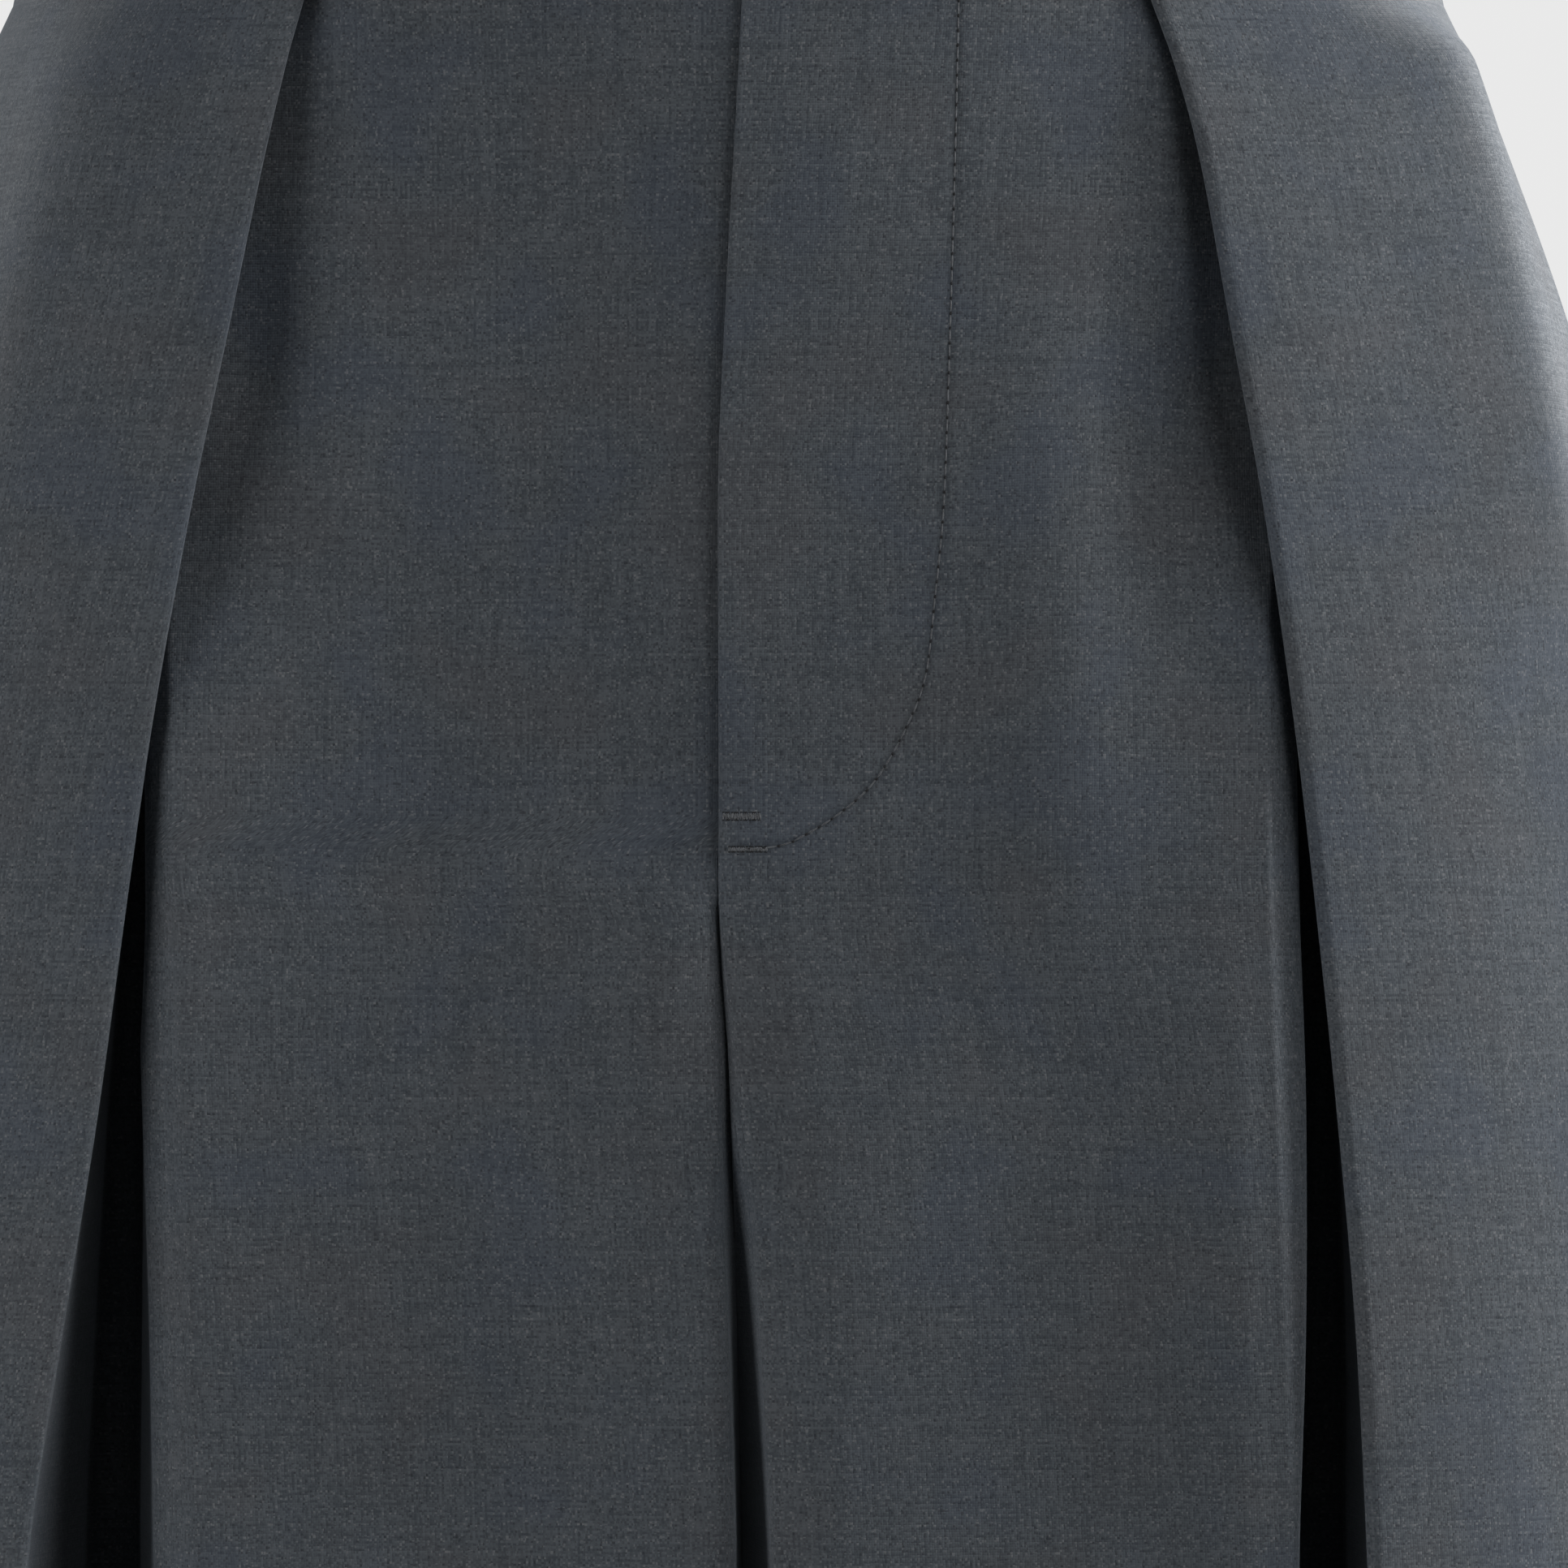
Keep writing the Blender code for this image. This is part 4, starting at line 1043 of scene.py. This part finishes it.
def copiesAlong(name, shape, places, finish, replaced=None):
    # copies of one shape, each at its own place, joined in one mesh
    points, faces = [], []
    shapePoints, shapeFaces = shape
    for middle, along, facing in places:
        sideways = facing.cross(along).normalized()
        turn = np.array((along.normalized(), sideways, facing)).T
        faces += [tuple(corner + len(points) * len(shapePoints) for corner in face) for face in shapeFaces]
        points.append(shapePoints @ turn.T + np.array(middle))
    ride(addMesh(name, np.concatenate(points), faces, finish), replaced)


def evenStops(line, pitch):
    along = np.concatenate([[0], np.cumsum(np.hypot(*np.diff(line, axis=0).T))])
    stops = np.arange(0, along[-1], pitch)
    return np.stack([np.interp(stops, along, line[:, 0]), np.interp(stops, along, line[:, 1])], axis=1)


def buildFlyStitching(pricks):
    holes = evenStops(flyLine(), flyStitch["pitch"])
    stitches = []
    for a, b in zip(holes, holes[1:]):
        start, facing = onSkin("front_left", *a)
        end = onSkin("front_left", *b)[0]
        stitches.append(((start + end) / 2 + facing * flyStitch["proud"], end - start, facing))
        # each needle hole gets a dark piece sunk in the cloth, painted as the shade inside the hole
        pricks.append((start - facing * flyStitch["sunk"], end - start, facing))
    copiesAlong("fly_stitches", threadShape(flyStitch["length"], flyStitch["thick"]), stitches, flyThread)


# two short tacks of close strands that lie across, each strand between two needle holes
barTacks = {
    "upper": {"from": -0.5, "to": 5.9, "drop": 147.6, "high": 1.15},
    "lower": {"from": 0.5, "to": 7.0, "drop": 153.3, "high": 0.75},
    "pitch": 0.3, "thick": 0.26, "proud": 0.08, "lean": (0.09, -0.14, 0.03, -0.06, 0.18),
    "holeReach": 0.02, "holeSunk": 0.14, "holeDeeper": 0.55,
}


def buildBarTacks(pricks):
    leans = barTacks["lean"]
    for name in ("upper", "lower"):
        tack = barTacks[name]
        places = []
        wide = tack["to"] - tack["from"]
        count = int(wide / barTacks["pitch"])
        for i in range(count + 1):
            x = tack["from"] + wide * i / count
            lean = leans[i % len(leans)]
            here, facing = onSkin("front_left", x, tack["drop"])
            places.append((here + facing * barTacks["proud"], Vector((lean, 0, 1)), facing))
            # at both ends of the strand a dark piece sunk in the cloth is painted as the shade of its needle
            # hole
            for end in (-1, 1):
                reach = tack["high"] / 2 + barTacks["holeReach"] + abs(lean)
                prick, facing = onSkin("front_left", x, tack["drop"] + end * reach)
                sunk = barTacks["holeSunk"] + barTacks["holeDeeper"] * abs(lean)
                pricks.append((prick - facing * sunk, Vector((1, 0, 0)), facing))
        copiesAlong("fly_bar_tack_" + name, threadShape(tack["high"], barTacks["thick"]), places, tackThread)


# the needle holes are dark pieces, painted as the shade inside each hole
needleHoleShades = []
buildFlyStitching(needleHoleShades)
buildBarTacks(needleHoleShades)
copiesAlong("fly_needle_hole_shade", threadShape(*flyStitch["hole"]), needleHoleShades, holeShadow)
print("stitching done")


def offsetLine(line, distance):
    # a line moved sideways, outwards where the distance is positive
    movedLine = []
    for i, point in enumerate(line):
        before, after = line[max(i - 1, 0)], line[min(i + 1, len(line) - 1)]
        heading = math.degrees(math.atan2(after[1] - before[1], after[0] - before[0]))
        movedLine.append(moved(point, heading - 90, distance))
    return movedLine


def halfWaist(side, start, heading):
    # the line of the waist on one side, from a point in front round to the middle of the back
    outerPanel = frontSection(side, 0)[4][arcSteps // 2 + 1:]
    joined, joinedHeading = pointAlong(outerPanel, cut["bandJoin"])
    reach = int(curveLength(outerPanel) - cut["bandJoin"])
    around = [pointAlong(outerPanel, cut["bandJoin"] + step)[0] for step in range(4, reach, 4)]
    back = [(x, -y) for run in backSection(side, 0)[::-1] for x, y in run[::-1]]
    front = fairCurve(start, heading, joined, joinedHeading)
    return front + offsetLine(around, cut["bandProud"]) + offsetLine(back, cut["bandProud"])


def bandLines():
    # the outside of the top half of the band, and of the half that runs on beneath it
    face = bodySizes.at(0).frontY
    overlap = slitSizes.at(0).seamX
    top = halfWaist(1, (overlap, face - cut["topLayerProud"] - cut["bandProud"]), 0)
    stops = [top[0]] + [pointAlong(top, step)[0] for step in range(3, int(cut["bandUnderlap"] - overlap), 3)]
    tucked = offsetLine(stops, -cut["bandWall"] - cut["bandAir"])
    under = [(-x, y) for x, y in tucked[::-1]]
    return top, under[:-1] + halfWaist(-1, under[-1], 0)


band = {
    "spacing": 2.4, "ends": (0, 0.1, 0.3, 0.6, 1.0, 1.6), "straight": 1.0, "headingFrom": 1.2,
    "thinnest": 0.12, "lower": 0.012, "wall": 2.2, "topRound": 1.05,
    "topAngles": (20, 45, 70, 90, 110, 135, 160), "outerRows": 15, "innerRows": 8, "rowsFrom": (0.5, 0.9),
    "footInside": ((0, 0.4), (0.25, 0)), "footOutside": ((-0.9, 0), (-0.3, 0.15)),
    "puff": 0.22, "ripple": 0.07, "rippleLong": 31.0, "rippleTurn": (0.16, 0.5), "inner": 60,
}
# inside, the band's foot reaches back over the front where the pleat draws that away from the band
bandLedge = {"from": 28.0, "slope": 0.078, "start": (38.6, 43.0), "end": (84.0, 92.0)}


def ledgeAt(x, y):
    if y > 0:
        return 0.0
    share = smoothStep(*bandLedge["start"], x) * (1 - smoothStep(*bandLedge["end"], x))
    return float(max(x - bandLedge["from"], 0) * bandLedge["slope"] * share)


def bandRing(phase, ledge):
    # the band cut across, as offsets from its outside and heights, round from the bottom
    half, wall, rounding = cut["bandHeight"] / 2, band["wall"], band["topRound"]
    top, foot, (turnUp, turnAlong) = half - rounding, -cut["topDrop"], band["rippleTurn"]
    ring = []
    for height in np.linspace(foot + band["rowsFrom"][0], top, band["outerRows"]):
        bulge = band["puff"] * (1 - (height / half) ** 2)
        bulge += band["ripple"] * math.sin(phase) * math.sin(turnUp * height + turnAlong * phase)
        ring.append((bulge, height))
    for angle in np.radians(band["topAngles"]):
        ring.append((-rounding * (1 - math.cos(angle)), top + rounding * math.sin(angle)))
    for height in np.linspace(top, foot + band["rowsFrom"][1], band["innerRows"]):
        ring.append((-wall, height))
    ring += [(x - wall - ledge, foot + rise) for x, rise in band["footInside"]]
    return ring + [(x, foot + rise) for x, rise in band["footOutside"]]


def buildWaistband(name, side, line, endRounds):
    length = curveLength(line)
    *ends, near = band["ends"]
    count = round((length - 2 * near) / band["spacing"])
    stops = ends + list(np.linspace(near, length - near, count + 1))
    stops += [length - distance for distance in ends[::-1]]
    rings, uvs = [], []
    for stop in stops:
        place, heading = pointAlong(line, stop)
        if stop < band["straight"] or stop > length - band["straight"]:
            heading = pointAlong(line, min(max(stop, band["headingFrom"]), length - band["headingFrom"]))[1]
        thin = 1.0
        for toEnd, rounding in ((stop, endRounds[0]), (length - stop, endRounds[1])):
            if toEnd < rounding:
                thin = min(thin, math.sqrt(max(1 - (1 - toEnd / rounding) ** 2, 0.0)))
        ring = bandRing(stop / band["rippleLong"] * 2 * math.pi + side, ledgeAt(*place))
        middle = -band["wall"] / 2
        for offset, height in ring:
            spread = middle + (offset - middle) * max(thin, band["thinnest"])
            x, y = moved(place, heading - 90, spread)
            rings.append((side * x, y, height * (1 - band["lower"] * (1 - thin))))
            uvs.append((height if offset > middle else -height - band["inner"], stop))
    across = len(ring)
    faces = []
    for i in range(len(stops) - 1):
        for k in range(across):
            a, b = i * across + k, i * across + (k + 1) % across
            corners = (a, a + across, b + across, b)
            faces.append(corners if side > 0 else corners[::-1])
    first, last = tuple(range(across)), tuple(range(len(rings) - across, len(rings)))
    faces += [first if side > 0 else first[::-1], last[::-1] if side > 0 else last]
    piece = addMesh(name + "_cloth", rings, faces, woolCloth, uvs)
    ride(piece, name)


def flySkin(drop, x):
    # the y of the top front's right side at a place across the fly
    runs = frontSection(1, drop)
    line = runs[0] + runs[1]
    if x <= line[0][0]:
        return line[0][1]
    for a, b in zip(line, line[1:]):
        if a[0] <= x <= b[0] and b[0] > a[0]:
            return a[1] + (b[1] - a[1]) * (x - a[0]) / (b[0] - a[0])
    return line[-1][1]


shield = {"x": (-14.0, 38.0), "top": 1.0, "long": 149.0, "turn": 96.0, "foot": 0.28, "inset": 5.1,
          "wall": 1.0, "rows": 60, "columns": 22, "wave": 0.25, "waveLong": (17, 9)}
zipSizes = {"x": 9.5, "from": 13.6, "to": 145.6, "inset": 3.1, "pitch": 0.645, "tooth": (2.6, 1.15, 0.62),
            "edge": 0.18, "reach": 0.95}


def buildShield():
    points, uvs = [], []
    for row in range(shield["rows"] + 1):
        drop = shield["top"] + shield["long"] * row / shield["rows"]
        share = max((drop - shield["turn"]) / (shield["top"] + shield["long"] - shield["turn"]), 0.0)
        roundOff = max(math.sqrt(max(1 - share**2, 0.0)), shield["foot"])
        left, right = shield["x"][0] * (1 + roundOff) / 2, shield["x"][1] * roundOff
        for column in range(shield["columns"] + 1):
            x = left + (right - left) * column / shield["columns"]
            wave = shield["wave"] * math.sin(drop / shield["waveLong"][0] + x / shield["waveLong"][1])
            wave *= math.sin(math.pi * column / shield["columns"])
            points.append((x, flySkin(drop, x) + shield["inset"] + wave, panelTop - drop))
            uvs.append((x, drop))
    faces = gridFaces(shield["rows"] + 1, shield["columns"] + 1, False)
    piece = addMesh("fly_shield_cloth", points, faces, woolCloth, uvs)
    giveWall(piece, shield["wall"])
    ride(piece, "fly_shield")


def toothShape():
    # one zip tooth: a small block with soft edges and a bump on its nose
    bpy.ops.mesh.primitive_cube_add(size=1)
    model = bpy.context.object
    model.scale = zipSizes["tooth"]
    bpy.ops.object.transform_apply(location=False, rotation=False, scale=True)
    edges = model.modifiers.new("edges", "BEVEL")
    edges.width = zipSizes["edge"]
    edges.limit_method = "NONE"
    applyModifiers(model)
    return takeShape(model)


def buildZipTeeth():
    places = []
    drop, toothSide = zipSizes["from"], 1
    while drop < zipSizes["to"]:
        x = zipSizes["x"] + toothSide * zipSizes["reach"]
        y = flySkin(drop, zipSizes["x"]) + zipSizes["inset"]
        places.append((Vector((x, y, panelTop - drop)), Vector((1, 0, 0)), Vector((0, -1, 0))))
        drop += zipSizes["pitch"]
        toothSide = -toothSide
    copiesAlong("zip_teeth", toothShape(), places, zipMetal, "zip_chain")


button = {"radius": 7.5, "deep": 2.9, "dish": 4.6, "slope": 0.9, "sink": 0.9, "floor": 0.5, "hole": 0.85,
          "spread": 1.55, "rim": 0.34, "rimAngle": 28, "softAngle": 40, "x": 19.0, "out": 0.35}
buttonThread = {"strands": (-0.42, -0.14, 0.14, 0.42), "bar": (3.1, 0.34), "barOut": 0.12,
                "turns": (-0.7, 0.0, 0.7), "shank": (4.0, 0.6), "shankOut": 0.16}
buttonhole = {"from": 17.5, "to": 35.5, "slot": 0.5, "slotOut": 0.02, "bar": 1.7, "barOut": 0.08,
              "pitch": 0.42, "thick": 0.4, "endBars": 9, "endPitch": 0.4, "endX": 0.5, "endOut": 0.1}


def bandPlace(line, x, height, out):
    # a place on the outside of the top band, with the way along it and the way it faces
    (px, py), heading = pointAlong(line, x - line[0][0])
    angle = math.radians(heading)
    along = Vector((math.cos(angle), math.sin(angle), 0))
    facing = Vector((math.sin(angle), -math.cos(angle), 0))
    return Vector((px, py, height)) + facing * out, along, facing


def buildButton(line):
    bpy.ops.mesh.primitive_cylinder_add(vertices=64, radius=button["radius"], depth=button["deep"])
    piece = bpy.context.object
    piece.name = piece.data.name = "waist_button_turned"
    bpy.ops.object.mode_set(mode="EDIT")
    bpy.ops.mesh.select_all(action="DESELECT")
    bpy.ops.object.mode_set(mode="OBJECT")
    for polygon in piece.data.polygons:
        polygon.select = polygon.normal.z > 0.9
    bpy.ops.object.mode_set(mode="EDIT")
    bpy.ops.mesh.select_mode(type="FACE")
    bpy.ops.mesh.inset(thickness=button["radius"] - button["dish"] - button["slope"])
    bpy.ops.mesh.inset(thickness=button["slope"])
    bpy.ops.transform.translate(value=(0, 0, -button["sink"]))
    bpy.ops.mesh.inset(thickness=button["floor"])
    bpy.ops.object.mode_set(mode="OBJECT")
    bpy.ops.mesh.primitive_cylinder_add(vertices=20, radius=button["hole"], depth=8)
    holes = [bpy.context.object]
    for _ in range(3):
        copied = holes[0].copy()
        copied.data = copied.data.copy()
        bpy.context.scene.collection.objects.link(copied)
        holes.append(copied)
    for number, hole in enumerate(holes):
        angle = math.radians(45 + 90 * number)
        hole.location = (button["spread"] * math.cos(angle), button["spread"] * math.sin(angle), 0)
        cutter = piece.modifiers.new(f"hole{number}", "BOOLEAN")
        cutter.object, cutter.operation, cutter.solver = hole, "DIFFERENCE", "EXACT"
    rim = piece.modifiers.new("rim", "BEVEL")
    rim.width = button["rim"]
    rim.segments = 3
    rim.limit_method = "ANGLE"
    rim.angle_limit = math.radians(button["rimAngle"])
    applyModifiers(piece)
    for hole in holes:
        bpy.data.objects.remove(hole, do_unlink=True)
    middle, along, facing = bandPlace(line, button["x"], 0, button["out"] + button["deep"] / 2)
    turn = Matrix((along, Vector((0, 0, 1)), facing)).transposed().to_4x4()
    piece.data.transform(Matrix.Scale(mm, 4) @ Matrix.Translation(middle) @ turn)
    piece.data.materials.clear()
    piece.data.materials.append(horn)
    bpy.ops.object.shade_smooth_by_angle(angle=math.radians(button["softAngle"]))
    ride(piece, "waist_button")

    # the thread goes over in two bars, and winds into a short shank behind
    rise = button["spread"] * math.sin(math.radians(45))
    heights = [row * rise + strand for row in (-1, 1) for strand in buttonThread["strands"]]
    face = button["out"] + button["deep"] - button["sink"] + buttonThread["barOut"]
    bars = [bandPlace(line, button["x"], height, face) for height in heights]
    copiesAlong("button_thread", threadShape(*buttonThread["bar"]), bars, flyThread)
    rise = buttonThread["shankOut"]
    turns = [bandPlace(line, button["x"], height, rise) for height in buttonThread["turns"]]
    copiesAlong("button_shank", threadShape(*buttonThread["shank"]), turns, flyThread)


def buildButtonhole(line):
    middle = (buttonhole["from"] + buttonhole["to"]) / 2
    # the slit is a dark piece painted as the shade in the cut
    slit = [bandPlace(line, middle, 0, band["puff"] + buttonhole["slotOut"])]
    length = buttonhole["to"] - buttonhole["from"]
    copiesAlong("buttonhole_slit_shade", threadShape(length, buttonhole["slot"]), slit, holeShadow)
    bars = []
    for row in (-1, 1):
        x = buttonhole["from"]
        while x <= buttonhole["to"]:
            height = row * (buttonhole["slot"] / 2 + buttonhole["bar"] / 2)
            place, _, facing = bandPlace(line, x, height, band["puff"] + buttonhole["barOut"])
            bars.append((place, Vector((0, 0, 1)), facing))
            x += buttonhole["pitch"]
    for step in range(buttonhole["endBars"]):
        height = (step - (buttonhole["endBars"] - 1) / 2) * buttonhole["endPitch"]
        bars.append(bandPlace(line, buttonhole["to"] + buttonhole["endX"], height,
                              band["puff"] + buttonhole["endOut"]))
    copiesAlong("buttonhole_stitches", threadShape(buttonhole["bar"], buttonhole["thick"]), bars, flyThread)


topLine, underLine = bandLines()
buildWaistband("waistband_left", 1, topLine, (1.3, 0.6))
buildWaistband("waistband_right", -1, underLine, (0.8, 0.6))
buildShield()
buildZipTeeth()
buildButton(topLine)
buildButtonhole(topLine)
print("waistband and fastenings done")


# camera square to the front, far off, with 272 mm of the garment in the frame
camera = {"x": 10.0, "drop": 142.0, "away": 2600.0, "width": 272.0, "faceY": -106.0, "sensor": 36.0}
lights = {
    "key": {"azimuth": 87, "elevation": 0, "away": 1.1, "lower": 0.12, "size": (0.30, 1.3), "power": 12.2},
    "front": {"azimuth": 36, "elevation": 0, "away": 1.1, "lower": 0.12, "size": (0.35, 1.3), "power": 1.9},
    "above": {"azimuth": 60, "elevation": 48, "away": 1.0, "lower": 0.0, "size": (0.7, 0.7), "power": 7.0},
    "fill": {"azimuth": -63, "elevation": 0, "away": 0.7, "lower": 0.12, "size": (0.35, 1.3), "power": 4.2},
    "behind": {"azimuth": 146, "elevation": 22, "away": 2.4, "lower": 0.2, "size": (0.6, 1.4), "power": 50},
    "behindLeft": {"azimuth": -130, "elevation": 12, "away": 2.6, "lower": 0.2, "size": (1.2, 1.4),
                   "power": 24},
}


def buildCamera():
    middle = Vector((camera["x"], camera["faceY"], panelTop - camera["drop"])) * mm
    data = bpy.data.cameras.new("photoView")
    data.sensor_width = camera["sensor"]
    data.lens = camera["sensor"] * camera["away"] / camera["width"]
    data.clip_end = 50
    seen = bpy.data.objects.new("photoView", data)
    seen.location = middle + Vector((0, -camera["away"] * mm, 0))
    seen.rotation_euler = (math.pi / 2, 0, 0)
    bpy.context.scene.collection.objects.link(seen)
    bpy.context.scene.camera = seen
    return middle


def buildLights(middle):
    for name, light in lights.items():
        data = bpy.data.lights.new(name, "AREA")
        data.shape = "RECTANGLE"
        data.size, data.size_y = light["size"]
        data.energy = light["power"]
        lamp = bpy.data.objects.new(name, data)
        azimuth, elevation = math.radians(light["azimuth"]), math.radians(light["elevation"])
        towards = Vector((math.sin(azimuth) * math.cos(elevation), -math.cos(azimuth) * math.cos(elevation),
                          math.sin(elevation)))
        lamp.location = middle + towards * light["away"] - Vector((0, 0, light["lower"]))
        lamp.rotation_euler = towards.to_track_quat("Z", "Y").to_euler()
        bpy.context.scene.collection.objects.link(lamp)


# the camera sees the backdrop evenly pale, and the floor with a soft share of its light and shadow
studio = {"seen": {"Color": (0.86, 0.86, 0.86, 1), "Strength": 0.95},
          "light": {"Color": (0.9, 0.95, 1.0, 1), "Strength": 0.02},
          "floor": {"Roughness": 0.9, "Emission Color": (1, 1, 0.99, 1)}, "floorLit": (0.5, 0.5, 0.495, 1),
          "floorSeen": (0.14, 0.14, 0.14, 1), "floorGlow": 0.66, "floorSize": 30, "below": 0.002}


def buildStudio():
    world = bpy.data.worlds.new("paleStudio")
    world.use_nodes = True
    tree = world.node_tree
    tree.nodes.clear()
    seen, light = [addNode(tree, "Background", studio[name]).outputs[0] for name in ("seen", "light")]
    straight = addNode(tree, "LightPath").outputs["Is Camera Ray"]
    both = addNode(tree, "MixShader", {0: straight, 1: light, 2: seen})
    addNode(tree, "OutputWorld", {"Surface": both.outputs[0]})
    bpy.context.scene.world = world

    material, tree, shader = startMaterial("paleFloor", studio["floor"])
    straight = addNode(tree, "LightPath").outputs["Is Camera Ray"]
    colour = mixColour(tree, straight, studio["floorLit"], studio["floorSeen"])
    glow = calculate(tree, "MULTIPLY", straight, studio["floorGlow"])
    setSockets(tree, shader, {"Base Color": colour, "Emission Strength": glow})
    floorZ = (panelTop - cut["hemDrop"]) * mm - studio["below"]
    bpy.ops.mesh.primitive_plane_add(size=studio["floorSize"], location=(0, 0, floorZ))
    floor = bpy.context.object
    floor.name = "floor"
    floor.data.materials.append(material)
    bpy.context.scene.view_settings.view_transform = "Standard"


buildLights(buildCamera())
buildStudio()
print("camera, lights and studio done")
